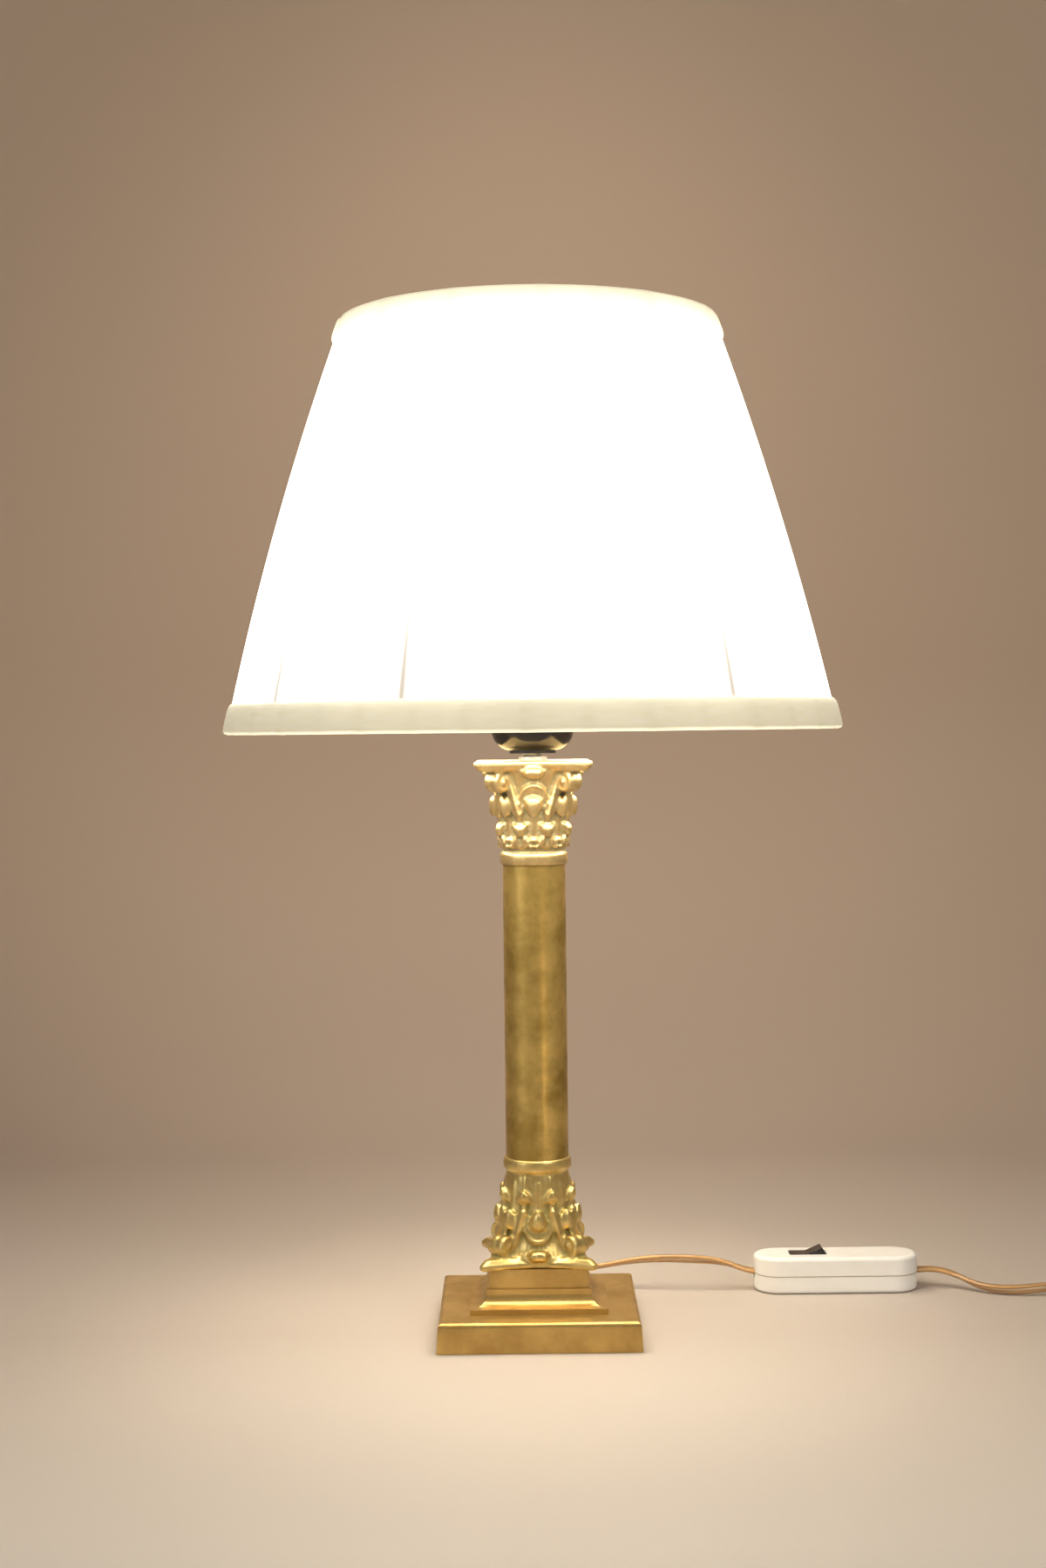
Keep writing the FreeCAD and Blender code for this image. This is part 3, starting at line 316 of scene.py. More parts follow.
leadPoints = [(0, 50.8, 7), (0, 61.4, 7.3), (5.9, 71.2, 8.2), (15.8, 76.7, 9.3), (31, 75.6, 10.7), (53, 73.2, 15.1),
              (70, 71.4, 16), (86, 70.5, 15.4), (98.5, 69.3, 14.2), (108, 68.5, 10.6), (116.4, 68, 9.1),
              (123.8, 68.1, 9.1)]
mainPoints = [(189.8, 67.9, 9.1), (198, 68, 9.1), (206.8, 68.6, 9.6), (214.8, 67.2, 8.6), (222.3, 63, 6.3),
              (228.8, 56.4, 3.7), (238.3, 50.4, 2.75), (250.3, 48.2, 2.9), (264.3, 48.6, 4.4), (281.8, 48.8, 3.2),
              (298.3, 48, 2.6), (312.8, 48, 2.6)]
tailPoints = [(312.8, -20, 21.8), (296.6, -20, 21.8), (287.4, -25.4, 20.2), (282, -34.6, 15.8), (282, -44.5, 10.4),
              (282, -54, 6.85), (282, -62, 6.85)]
innerPoints = [(0, 0, 304.4), (0, 0, 150), (0, 0, 22), (0, 0, 12), (0, 4.5, 7), (0, 16, 7), (0, 50.8, 7)]
coil = {"x": 318.0, "y": 14.0, "reach": 34.0, "layers": 4, "halfTurns": 3, "step": 3.3, "foot": 2.6, "rise": 6.4,
        "perHalf": 8}


def coilPoints():
    # half turns that spiral in and out again, climbing a layer where the spiral reverses
    points = []
    side, reach, height = 1, coil["reach"], coil["foot"]
    grow = 1 / (0.75 + 0.25 * cos(pi / coil["perHalf"]))  # the spline runs inside its points
    for layer in range(coil["layers"]):
        inward = -1 if layer % 2 == 0 else 1
        for step in range(coil["halfTurns"] + (layer < coil["layers"] - 1)):
            climb = step == coil["halfTurns"]
            nextReach = reach if climb else reach + inward * coil["step"]
            centre = coil["y"] + side * (reach - nextReach) / 2
            radius = (reach + nextReach) / 2 * grow
            for k in range(coil["perHalf"]):
                t = (k + 0.5) / coil["perHalf"]
                a = pi * t
                points.append((coil["x"] + side * radius * sin(a), centre + side * radius * cos(a),
                               height + (coil["rise"] * t if climb else 0)))
            height += coil["rise"] if climb else 0
            side, reach = -side, nextReach
    return points


leadLine = splineLine("leadRoute", leadPoints)
lead, leadCores = flatCord("cordLampSide", leadLine, [(0, 8), (0.35, 20), (0.7, 60), (0.92, 0), (1, 0)], ["cord_lead"])
plugLine = splineLine("plugSideRoute", mainPoints + coilPoints() + tailPoints)
plugSide, plugSideCores = flatCord("cordPlugSide", plugLine,
                                   [(0, 0), (0.01, 0), (0.05, 90), (0.965, 90), (0.995, 0), (1, 0)],
                                   ["cord_main", "cord_coil", "cord_tail"])
flatCord("cordInside", splineLine("innerRoute", innerPoints), [(0, 0), (1, 0)], ["inner_cord"])
print("cords made:", round(lengthOf(leadLine), 3), round(lengthOf(plugLine), 3))


# brass, in four finishes made from one recipe: bare metal, its tarnish, and what gathers in the hollows
def brass(name, bright, dull, rough, patchMm, lines=None, recess=None, bare=0.85, relief=0.12):
    # rough gives the roughness of bright and of dull metal; lines, how far polishing lines stretch in X, Y and Z
    material, add, shader = newMaterial(name, {"Metallic": bare})
    place = add("ShaderNodeMapping", {"Vector": add("ShaderNodeTexCoord").outputs["Object"],
                                      "Location": (0.313, 0.172, 0.234)})  # off the pattern's own planes
    patches = add("ShaderNodeTexNoise", {"Vector": place, "Scale": 1000 / patchMm, "Detail": 5.0, "Roughness": 0.58})
    specks = add("ShaderNodeTexNoise", {"Vector": place, "Scale": 900.0, "Detail": 3.0})
    colour = add("ShaderNodeValToRGB", {"Fac": patches}, {"stops": [(0.36, dull), (0.62, bright)]})
    gloss = add("ShaderNodeMapRange", {"Value": patches, "From Min": 0.35, "From Max": 0.65,
                                       "To Min": rough[1], "To Max": rough[0]})
    if recess:
        hollow = add("ShaderNodeAttribute", {}, {"attribute_name": "recess"}).outputs["Fac"]
        spread = add("ShaderNodeMath", {0: specks, 1: 0.5, 2: hollow}, {"operation": "MULTIPLY_ADD"})
        mask = add("ShaderNodeMapRange", {"Value": spread, "From Min": 0.45, "From Max": 1.3, "To Max": 0.7})
        colour = add("ShaderNodeMix", {"Factor": mask, "A": colour, "B": recess}, {"data_type": "RGBA"})
        gloss = add("ShaderNodeMath", {0: mask, 1: 0.3, 2: gloss}, {"operation": "MULTIPLY_ADD", "use_clamp": True})
        feed(shader, {"Metallic": add("ShaderNodeMath", {0: mask, 1: -0.6, 2: bare}, {"operation": "MULTIPLY_ADD"})})
    height = specks
    if lines:
        stretch = add("ShaderNodeMapping", {"Vector": place, "Scale": lines})
        brushed = add("ShaderNodeTexNoise", {"Vector": stretch, "Scale": 700.0, "Detail": 2.0})
        height = add("ShaderNodeMath", {0: brushed, 1: 0.6, 2: specks}, {"operation": "MULTIPLY_ADD"})
    bump = add("ShaderNodeBump", {"Strength": relief, "Distance": 0.0002, "Height": height})
    feed(shader, {"Base Color": colour, "Roughness": gloss, "Normal": bump})
    return material


slabBrass = brass("satinCastBrass", "#d3b16a", "#b99656", (0.28, 0.38), 22,
                  lines=(0.05, 1, 1), bare=0.74, relief=0.05)  # a soft glow with level polishing lines
columnBrass = brass("agedDrawnBrass", "#dabb6e", "#a98d48", (0.28, 0.4), 17,
                    lines=(1, 1, 0.03), relief=0.08)  # brown patches, upright drawing lines
capitalBrass = brass("polishedCastBrassWithVerdigris", "#dfc58c", "#cbae77", (0.28, 0.38), 4,
                     recess="#84866a")  # bright edges over grey-green hollows
footBrass = brass("wornCastBrass", "#dfc680", "#c9ac68", (0.28, 0.4), 6, recess="#8f8850")  # rubbed soft, hollows brown


# cast Corinthian capital, as the photograph shows it: hooded leaf tips, stalks, corner scrolls, hollow-sided top;
# its parts are stores of points in millimetres, of faces, and of how deep in the relief each point lies
capital = {"boreRadius": 5.2, "ringRadius": 16.9, "neckRadius": 15.0, "bellFoot": 8.0, "bellRadius": 15.6,
           "flareFrom": 18.0, "lipRadius": 22.6, "lipHeight": 46.6, "abacusHalf": 28.9, "abacusWaist": 22.6,
           "abacusHorn": 2.6, "abacusFoot": 46.2, "abacusTop": 51.3, "bellTop": 47.4, "around": 240,
           "flutes": 60, "fluteDeep": 0.6, "fluteFrom": 39.5, "fluteTo": 45.2, "groundDeep": 0.18}


def bellAt(h):
    rise = max(0.0, (h - capital["flareFrom"]) / (capital["lipHeight"] - capital["flareFrom"]))
    return capital["bellRadius"] + (capital["lipRadius"] - capital["bellRadius"]) * rise ** 2.2


def smoothPath(points, count):
    # a curve through the points, evenly spaced
    dense = []
    for i in range(len(points) - 1):
        p0, p1 = Vector(points[max(i - 1, 0)]), Vector(points[i])
        p2, p3 = Vector(points[i + 1]), Vector(points[min(i + 2, len(points) - 1)])
        for k in range(16):
            t = k / 16
            dense.append(0.5 * (2 * p1 + (p2 - p0) * t + (2 * p0 - 5 * p1 + 4 * p2 - p3) * t * t
                                + (3 * p1 - p0 - 3 * p2 + p3) * t ** 3))
    dense.append(Vector(points[-1]))
    run = [0.0]
    for a, b in zip(dense, dense[1:]):
        run.append(run[-1] + (b - a).length)
    spots, j = [], 0
    for k in range(count):
        want = run[-1] * k / (count - 1)
        while j < len(run) - 2 and run[j + 1] < want:
            j += 1
        t = (want - run[j]) / max(run[j + 1] - run[j], 1e-9)
        spots.append(dense[j].lerp(dense[j + 1], t))
    return spots


def bumpAt(x, centre, width):
    return exp(-((x - centre) / width) ** 2)


def gridStore(rows, recessRows, **shape):
    return {"verts": flat(rows), "recess": flat(recessRows), "faces": gridFaces(len(rows), len(rows[0]), **shape)}


# relief of a leaf, in millimetres; widths and places are shares of its half width
leafFacts = {"along": 46, "across": 25, "dome": 1.15, "edgeDrop": 0.5, "rib": 0.42, "ribWide": 0.13, "groove": 0.42,
             "grooveAt": 0.27, "grooveWide": 0.07, "swell": 0.35, "channel": 0.62, "channelWide": 0.11,
             "hoodDome": 0.8, "hoodRib": 0.3, "sink": 0.5, "lean": 1.3}


def leafSurface(line, halfWidth, hoodHalf, lobes, hoodStart):
    # line is the leaf's middle in the (radius, height) plane; the leaf lies across it and droops at its hood
    f = leafFacts
    spots = smoothPath([(r, 0, z) for r, z in line], f["along"])
    rows, recessRows = [], []
    for i, spot in enumerate(spots):
        v = i / (len(spots) - 1)
        ahead = aheadAt(spots, i)
        normal = Vector((ahead.z, 0, -ahead.x))
        inHood = max(0.0, (v - hoodStart) / (1 - hoodStart))
        body = min(1.0, v / hoodStart)
        over = min(1.0, inHood * 3.5)  # past the fold the leaf's back shows, domed and ribbed
        scallop = abs(sin(pi * (body * lobes))) ** 0.5
        width = halfWidth + (hoodHalf - halfWidth) * easedStep(min(1.0, max(0.0, (body - 0.5) / 0.5)))
        width *= 0.84 + 0.16 * scallop
        if inHood > 0:
            width = hoodHalf * sqrt(max(0.0, 1 - (inHood * 0.95) ** 2.6))
        row, recessRow = [], []
        for j in range(f["across"]):
            u = 2 * j / (f["across"] - 1) - 1
            side = u * width
            phase = (body - 0.10 * abs(u)) * lobes
            away = abs(phase - round(phase))
            channel = bumpAt(away, 0, f["channelWide"]) * min(1, abs(u) / 0.25) * (1 - inHood) * (phase > 0.4)
            rib = bumpAt(u, 0, f["ribWide"])
            groove = bumpAt(abs(u), f["grooveAt"], f["grooveWide"]) * (1 - inHood)
            front = (f["dome"] * (1 - u * u) * (0.4 + 0.6 * body) - f["edgeDrop"] * abs(u) ** 3 + f["rib"] * rib
                     - f["groove"] * groove)
            front += f["swell"] * sin(pi * min(1, away * 2)) * abs(u) - f["channel"] * channel
            back = f["hoodDome"] * hoodHalf * (1 - sqrt(1 - 0.96 * u * u)) - f["hoodRib"] * rib
            lift = front * (1 - over) + back * over - f["sink"] - f["lean"] * min(1.0, body * 1.2) * (1 - over)
            bend = side * side / (2 * max(spot.x, 8))
            place = spot + normal * lift
            row.append(Vector((place.x - bend, side, place.z)))
            recessRow.append(min(1.0, 0.95 * channel + 0.75 * groove + 0.5 * max(0, abs(u) - 0.8) / 0.2 * (1 - inHood)
                                 + 0.25 * (1 - body)))
        rows.append(row)
        recessRows.append(recessRow)
    return gridStore(rows, recessRows, closed=False)


def sweptStrip(spots, widths, thick, sideways, recess=0.0, hollow=0.0):
    # a strip with a soft section that follows spots; sideways is its broad direction
    rows, recessRows = [], []
    section = [(-1, 0), (-0.82, 0.72), (-0.4, 1 - hollow), (0, 1 - 1.6 * hollow), (0.4, 1 - hollow), (0.82, 0.72),
               (1, 0), (0.8, -0.8), (0, -1), (-0.8, -0.8)]
    for i, spot in enumerate(spots):
        ahead = aheadAt(spots, i)
        broad = Vector(sideways) - ahead * ahead.dot(Vector(sideways))
        broad.normalize()
        up = broad.cross(ahead).normalized()
        w = (widths[i] if isinstance(widths, list) else widths) / 2
        t = (thick[i] if isinstance(thick, list) else thick) / 2
        rows.append([spot + broad * (x * w) + up * (y * t) for x, y in section])
        recessRows.append([recess + (0.55 * hollow if abs(x) < 0.3 and y > 0 else 0) for x, y in section])
    return gridStore(rows, recessRows, capped=True)


def ball(centre, radii, recess=0.0):
    segments, rings = 16, 10
    cx, cy, cz = centre
    rx, ry, rz = radii
    verts, faces = [Vector((cx, cy, cz - rz))], []
    for i in range(1, rings):
        a = pi * i / rings
        for k in range(segments):
            b = 2 * pi * k / segments
            verts.append(Vector((cx + rx * sin(a) * cos(b), cy + ry * sin(a) * sin(b), cz - rz * cos(a))))
    verts.append(Vector((cx, cy, cz + rz)))
    top = 1 + (rings - 2) * segments
    for k in range(segments):
        k2 = (k + 1) % segments
        faces.append((0, 1 + k2, 1 + k))
        for low in range(1, top, segments):
            faces.append((low + k, low + k2, low + k2 + segments, low + k + segments))
        faces.append((top + k, top + k2, len(verts) - 1))
    return {"verts": verts, "faces": faces, "recess": [recess] * len(verts)}


def joined(parts):
    store = {"verts": [], "faces": [], "recess": []}
    for part in parts:
        base = len(store["verts"])
        store["verts"] += part["verts"]
        store["recess"] += part["recess"]
        store["faces"] += [tuple(base + k for k in face) for face in part["faces"]]
    return store


def mirroredStore(store):
    return {"verts": [Vector((v.x, -v.y, v.z)) for v in store["verts"]],
            "faces": [tuple(reversed(f)) for f in store["faces"]], "recess": store["recess"]}


# copies of a piece, one step further, a share of a turn round and a little smaller each: the leaves, scrolls, arches
# and flowers round the lamp's axis, and the rings on the plug's neck
copyTree, add, copyIn = newTree("rowOfCopies", {"Piece": "Object", "Count": "Int", "Start": "Vector", "Step": "Vector",
                                                "First": "Float", "Around": "Float", "Shrink": "Float",
                                                "Finish": "Material"})
pieceInfo = add("GeometryNodeObjectInfo", {"Object": copyIn["Piece"], "As Instance": True})
row = add("GeometryNodeMeshLine", {
    "Count": copyIn["Count"], "Start Location": copyIn["Start"], "Offset": copyIn["Step"]})
order = add("GeometryNodeInputIndex")
share = add("ShaderNodeMath", {0: order, 1: copyIn["Count"]}, {"operation": "DIVIDE"})
angle = add("ShaderNodeMath", {0: share, 1: copyIn["Around"], 2: copyIn["First"]}, {"operation": "MULTIPLY_ADD"})
smaller = add("ShaderNodeMath", {0: order, 1: copyIn["Shrink"], 2: 1.0}, {"operation": "MULTIPLY_ADD"})
copies = add("GeometryNodeInstanceOnPoints", {
    "Points": row, "Instance": pieceInfo.outputs["Geometry"], "Scale": smaller,
    "Rotation": add("ShaderNodeCombineXYZ", {"Z": angle})})
endTree(copyTree, copies, copyIn["Finish"])


def ringOf(store, count, first, wallMm=0.0):
    # the copies of one store; a leaf gets its thickness here
    mesh = newMesh("copied", [v * mm for v in store["verts"]], store["faces"], {"recess": store["recess"]})
    walls = [("SOLIDIFY", {"thickness": wallMm * mm, "offset": -1})] if wallMm else []
    made = modified(newObject("copied", mesh), walls)
    template = newObject("copied", made)
    ring = grown(copyTree, {"Piece": template, "Count": count, "First": radians(first), "Around": 2 * pi,
                            "Finish": capitalBrass})
    bpy.data.objects.remove(template)
    return ring


# one corner of the casting; its line is in the (radius, height) plane of the diagonal
scroll = {"centre": (24.2, 40.8), "radius": 5.2, "width": 4.8, "stalkWidth": 4.0, "count": 110, "offset": 2.2,
          "curlSteps": 30, "curlFrom": 112, "curlStep": 18, "tighten": 0.128, "thick": 3.8, "taper": 2.1,
          "stalk": [(17.6, 24.6), (18.6, 29.5), (19.2, 34.5), (20.2, 39.6), (21.4, 43.6)],
          "stalkOffsets": [6.6, 5.6, 4.3, 3.1, 2.5]}


def scrollStore():
    # two stalks that meet on the diagonal, then roll up side by side round two eyes
    cx, cz = scroll["centre"]
    curl = []
    for k in range(scroll["curlSteps"]):
        a = radians(scroll["curlFrom"] - k * scroll["curlStep"])
        r = scroll["radius"] - k * scroll["tighten"]
        curl.append((cx + r * cos(a), cz + r * sin(a)))
    # the stalk starts 22 degrees off the diagonal and comes onto it
    offsets = scroll["stalkOffsets"] + [scroll["offset"]] * len(curl)
    count = scroll["count"]
    spots = smoothPath([(r, y, z) for (r, z), y in zip(scroll["stalk"] + curl, offsets)], count)
    widths = [(scroll["stalkWidth"] + (scroll["width"] - scroll["stalkWidth"]) * min(1, i / 45))
              * (1 - 0.25 * max(0, (i - 60) / 50)) for i in range(count)]
    thick = [scroll["thick"] - scroll["taper"] * i / (count - 1) for i in range(count)]
    one = sweptStrip(spots, widths, thick, (0, 1, 0), 0.05, 0.28)
    eye = ball((cx, 3.2, cz), (1.7, 2.0, 1.7))
    bed = ball((cx - 0.8, 1.8, cz + 0.2), (5.0, 2.8, 5.0), 0.8)
    half = joined([one, eye, bed])
    return joined([half, mirroredStore(half)])


arch = {"radius": 5.9, "height": 33.2, "footHeight": 28.7, "footOut": 6.9, "flowerHeight": 45.4}


def faceStore():
    # the arch of two small helices over the middle leaf, with their curled feet, and the flower on the top plate
    parts = []
    for r, wide, thick in ((arch["radius"], 2.1, 2.0), (arch["radius"] - 2.3, 1.3, 1.2)):
        line = []
        for k in range(33):
            a = radians(-14 + 208 * (k / 32))
            y, z = r * cos(a), arch["height"] + r * sin(a)
            line.append((bellAt(z) + 1.3 - 0.02 * y * y, y, z))
        parts.append(sweptStrip(smoothPath(line, 64), wide, thick, (1, 0, 0.15), 0.1))
    for side in (-1, 1):
        foot = []
        for k in range(20):
            a = radians(90 + side * 30 - side * k * 26)
            r = 1.75 - 0.065 * k
            z = arch["footHeight"] + r * sin(a)
            foot.append((bellAt(z) + 1.4, side * arch["footOut"] + r * cos(a), z))
        parts.append(sweptStrip(smoothPath(foot, 48), 1.1, 1.1, (1, 0, 0)))
    parts.append(ball((bellAt(36) + 0.4, 0, 36.2), (1.0, 3.2, 2.4), 0.75))  # the dark field behind the leaf's hood
    parts.append(ball((capital["abacusWaist"] - 0.4, 0, arch["flowerHeight"]), (2.6, 5.4, 2.8)))
    for side in (-1, 1):
        parts.append(ball((capital["abacusWaist"] + 0.5, side * 2.0, arch["flowerHeight"]), (2.2, 2.5, 2.4)))
    return joined(parts)


def stalkStore():
    # between the upper leaves: a fluted stalk and the round cup that the scrolls spring from
    line = smoothPath([(16.2, 0, 13.5), (16.8, 0, 17.5), (17.6, 0, 21.0), (18.2, 0, 23.6)], 20)
    stalk = sweptStrip(line, [1.5 + 0.09 * i for i in range(20)], [1.3 + 0.06 * i for i in range(20)], (0, 1, 0),
                       0.25, 0.25)
    cup = ball((18.7, 0, 24.9), (1.9, 1.75, 1.65))
    angles = [pi * k / 8 - pi / 2 for k in range(9)]
    rim = smoothPath([(17.8 + 1.5 * cos(a), 1.9 * sin(a), 26.2) for a in angles], 18)
    return joined([stalk, cup, sweptStrip(rim, 0.9, 0.8, (0, 0, 1))])


def frillStore():
    # the crimped edges of the lower leaves, which wear has kept on the upper casting alone
    small = []
    for side in (-1, 1):
        small.append(ball((17.4, side * 2.3, 12.4), (0.9, 1.0, 2.2), 0.1))
        small.append(ball((17.0, side * 1.1, 20.2), (0.8, 0.8, 1.2), 0.3))
        for y, z, size in ((1.3, 9.6, 0.95), (3.4, 10.6, 1.1), (5.2, 9.3, 0.9), (5.6, 12.4, 1.0), (0.9, 12.6, 0.8)):
            small.append(ball((16.4, side * y, z), (0.9, size, size * 1.25)))
    return joined(small)


def bellStore():
    c = capital
    profile = [(c["boreRadius"], 0.0, 0), (c["ringRadius"] - 1.1, 0.0, 0.2), (c["ringRadius"] - 0.35, 0.35, 0)]
    reach = 62  # degrees of arc either way that make the rounded ring
    for k in range(9):
        a = radians(-reach + 2 * reach * k / 8)
        height = 3.2 + 2.6 * sin(a) / sin(radians(reach))
        profile.append((c["ringRadius"] - 1.0 + 1.05 * cos(a), height, 0))
    profile += [(c["neckRadius"] + 0.9, 6.15, 0.3), (c["neckRadius"], 6.5, 0.9), (c["neckRadius"] + 0.05, 7.5, 1),
                (c["bellRadius"], c["bellFoot"], 0.8)]
    for k in range(1, 24):
        h = c["bellFoot"] + (c["lipHeight"] - c["bellFoot"]) * k / 23
        profile.append((bellAt(h) + (0.5 if h > 44.9 else 0), h, 0.95 if h < 42 else 0.55))
    profile += [(c["lipRadius"] - 2, c["bellTop"], 0.9), (c["boreRadius"], c["bellTop"], 0)]
    rows, recessRows = [], []
    for r, h, recess in profile:
        row, recessRow = [], []
        for k in range(c["around"]):
            a = 2 * pi * k / c["around"]
            flute = 0.0
            if c["fluteFrom"] < h < c["fluteTo"]:  # fine upright flutes under the top plate
                flute = c["fluteDeep"] * (0.5 - 0.5 * cos(a * c["flutes"]))
            if c["bellFoot"] < h < c["fluteFrom"]:  # an uneven cast ground behind the leaves
                flute = c["groundDeep"] * sin(a * 40) * sin(h * 1.3)
            row.append(aboutAxis(r - flute, a, h))
            recessRow.append(min(1.0, recess + flute))
        rows.append(row)
        recessRows.append(recessRow)
    return gridStore(rows, recessRows, looped=True)


def abacusOutline(shrink):
    far = capital["abacusHalf"] - shrink
    cut = far - capital["abacusHorn"]
    waist = capital["abacusWaist"] - shrink
    # circle through the horn's two ends and the waist
    x0 = (far * far + cut * cut - waist * waist) / (2 * (far - waist))
    radius = x0 - waist
    half = atan2(cut, x0 - far)
    points = []
    for quarter in range(4):
        turn = Matrix.Rotation(pi / 2 * quarter, 2)
        for k in range(29):
            a = -half + 2 * half * k / 28
            points.append(turn @ Vector((x0 - radius * cos(a), radius * sin(a))))
        a, b = turn @ Vector((far, cut)), turn @ Vector((cut, far))
        for k in range(1, 5):  # the cut corner, a little rounded
            p = a.lerp(b, k / 5)
            points.append(p * (1 + 0.012 * sin(pi * k / 5)))
    return points


def abacusStore():
    top, foot = capital["abacusTop"], capital["abacusFoot"]
    profile = [(2.6, foot, 0.7), (2.0, 46.9, 0.6), (1.35, 47.3, 0.3), (1.1, 47.8, 0), (0.45, 48.25, 0.35),
               (0.1, 48.5, 0), (0, 48.9, 0), (0, 50.3, 0), (0.12, 50.8, 0), (0.5, 51.15, 0), (1.0, top, 0)]
    rows = [[Vector((p.x, p.y, h)) for p in abacusOutline(shrink)] for shrink, h, recess in profile]
    recessRows = [[recess] * len(rows[0]) for shrink, h, recess in profile]
    inner = [v.xy.normalized() * capital["boreRadius"] for v in rows[-1]]
    for h, recess in ((top, 0.0), (foot, 0.5)):
        rows.append([Vector((p.x, p.y, h)) for p in inner])
        recessRows.append([recess] * len(inner))
    return gridStore(rows, recessRows, looped=True)


lowLeaf = leafSurface([(14.9, 8.2), (15.9, 11.5), (16.4, 14.6), (16.8, 17.6), (17.7, 19.5), (18.9, 19.5),
                       (19.7, 17.8), (19.5, 15.8), (18.6, 14.4)], 5.9, 3.9, 3, 0.62)
highLeaf = leafSurface([(15.2, 10.5), (16.2, 15.0), (16.7, 20.0), (17.2, 25.0), (17.8, 29.4), (18.5, 32.3),
                        (19.7, 33.3), (20.9, 32.0), (21.3, 29.2), (20.9, 26.0), (19.8, 23.9)], 5.9, 4.9, 4, 0.62)
rings = [ringOf(lowLeaf, 8, 22.5, 0.9), ringOf(highLeaf, 8, 0, 0.9), ringOf(scrollStore(), 4, 45),
         ringOf(faceStore(), 4, 0), ringOf(stalkStore(), 8, 22.5), ringOf(bellStore(), 1, 0),
         ringOf(abacusStore(), 1, 0)]
frillRing = ringOf(frillStore(), 8, 22.5)
casting = {"voxel": 0.5, "cavityRounds": 40, "cavityDeep": 0.55, "footTop": 85.3, "tubeTop": 230.0}


def cavities(mesh):
    # how far each point lies below its evened-out surroundings, 0 to 1
    count = len(mesh.vertices)
    spots, normals = np.empty(count * 3), np.empty(count * 3)
    ends = np.empty(len(mesh.edges) * 2, dtype=np.int64)
    mesh.vertices.foreach_get("co", spots)
    mesh.vertices.foreach_get("normal", normals)
    mesh.edges.foreach_get("vertices", ends)
    spots, normals = spots.reshape(-1, 3), normals.reshape(-1, 3)
    near, far = ends[0::2], ends[1::2]
    degree = np.maximum(np.bincount(ends, minlength=count), 1)
    even = spots.copy()
    for k in range(casting["cavityRounds"]):
        for axis in range(3):
            total = (np.bincount(near, weights=even[far, axis], minlength=count)
                     + np.bincount(far, weights=even[near, axis], minlength=count))
            even[:, axis] = 0.5 * even[:, axis] + 0.5 * total / degree
    depth = ((even - spots) * normals).sum(axis=1)
    return np.clip(depth / (casting["cavityDeep"] * mm), 0.0, 1.0)


def castingPiece(name, place, replaced, parts, material, fill, wear):
    # the ornament is poured into one skin; narrow gaps fill with metal, and wear rounds what stands proud
    work = bmesh.new()
    for ring in parts:
        work.from_mesh(ring)
    mesh = bpy.data.meshes.new(name)
    work.to_mesh(mesh)
    work.free()
    skin = ("REMESH", {"mode": "VOXEL", "voxel_size": casting["voxel"] * mm})
    out, back = (("DISPLACE", {"strength": way * fill * mm, "mid_level": 0.0}) for way in (1, -1))
    made = modified(newObject(name, mesh), [skin, out, skin, back, ("SMOOTH", {"factor": 0.5, "iterations": wear})])
    made.transform(place)
    layer = made.attributes.get("recess") or made.attributes.new("recess", "FLOAT", "POINT")
    layer.data.foreach_set("value", cavities(made))
    return placePiece(name, made, material, "stand", [replaced])


castingPiece("capitalCasting", Matrix.Translation((0, 0, casting["tubeTop"] * mm)), "top_capital",
             rings + [frillRing], capitalBrass, 0.5, 2)
castingPiece("footCasting", Matrix.Translation((0, 0, casting["footTop"] * mm)) @ Matrix.Rotation(pi, 4, "X"),
             "foot_casting", rings, footBrass, 0.6, 9)

# shade: twelve panels of thin cloth stretched over the wire frame, with a narrow seam at each wire
# the last list gives how dark the painted shadow of each wire is, seam by seam
shade = {"low": 296.4, "high": 496.6, "lowRadius": 149.8, "highRadius": 91.2, "bulge": 3.8, "panels": 12,
         "perPanel": 16, "tall": 48, "crowding": 0.055, "firstSeam": -83.0, "cloth": 0.6, "seamWide": 1.5,
         "seamProud": 0.35, "pull": 0.7, "wireShadow": [0.0, 0.94, 0.3, 0.3, 0.2, 0.2, 0.2, 0.2, 0.2, 0.3, 0.86, 1.0]}


def shadeRadius(z):
    # the side is an arc through the lower rim, the bulge at half height and the upper rim
    middle = (shade["low"] + shade["high"]) / 2
    ax, az, cx, cz = shade["lowRadius"], shade["low"], shade["highRadius"], shade["high"]
    bx, bz = (ax + cx) / 2 + shade["bulge"], middle
    d = 2 * (ax * (bz - cz) + bx * (cz - az) + cx * (az - bz))
    a2, b2, c2 = ax * ax + az * az, bx * bx + bz * bz, cx * cx + cz * cz
    x = (a2 * (bz - cz) + b2 * (cz - az) + c2 * (az - bz)) / d
    zc = (a2 * (cx - bx) + b2 * (ax - cx) + c2 * (bx - ax)) / d
    return x + sqrt((ax - x) ** 2 + (az - zc) ** 2 - (z - zc) ** 2)


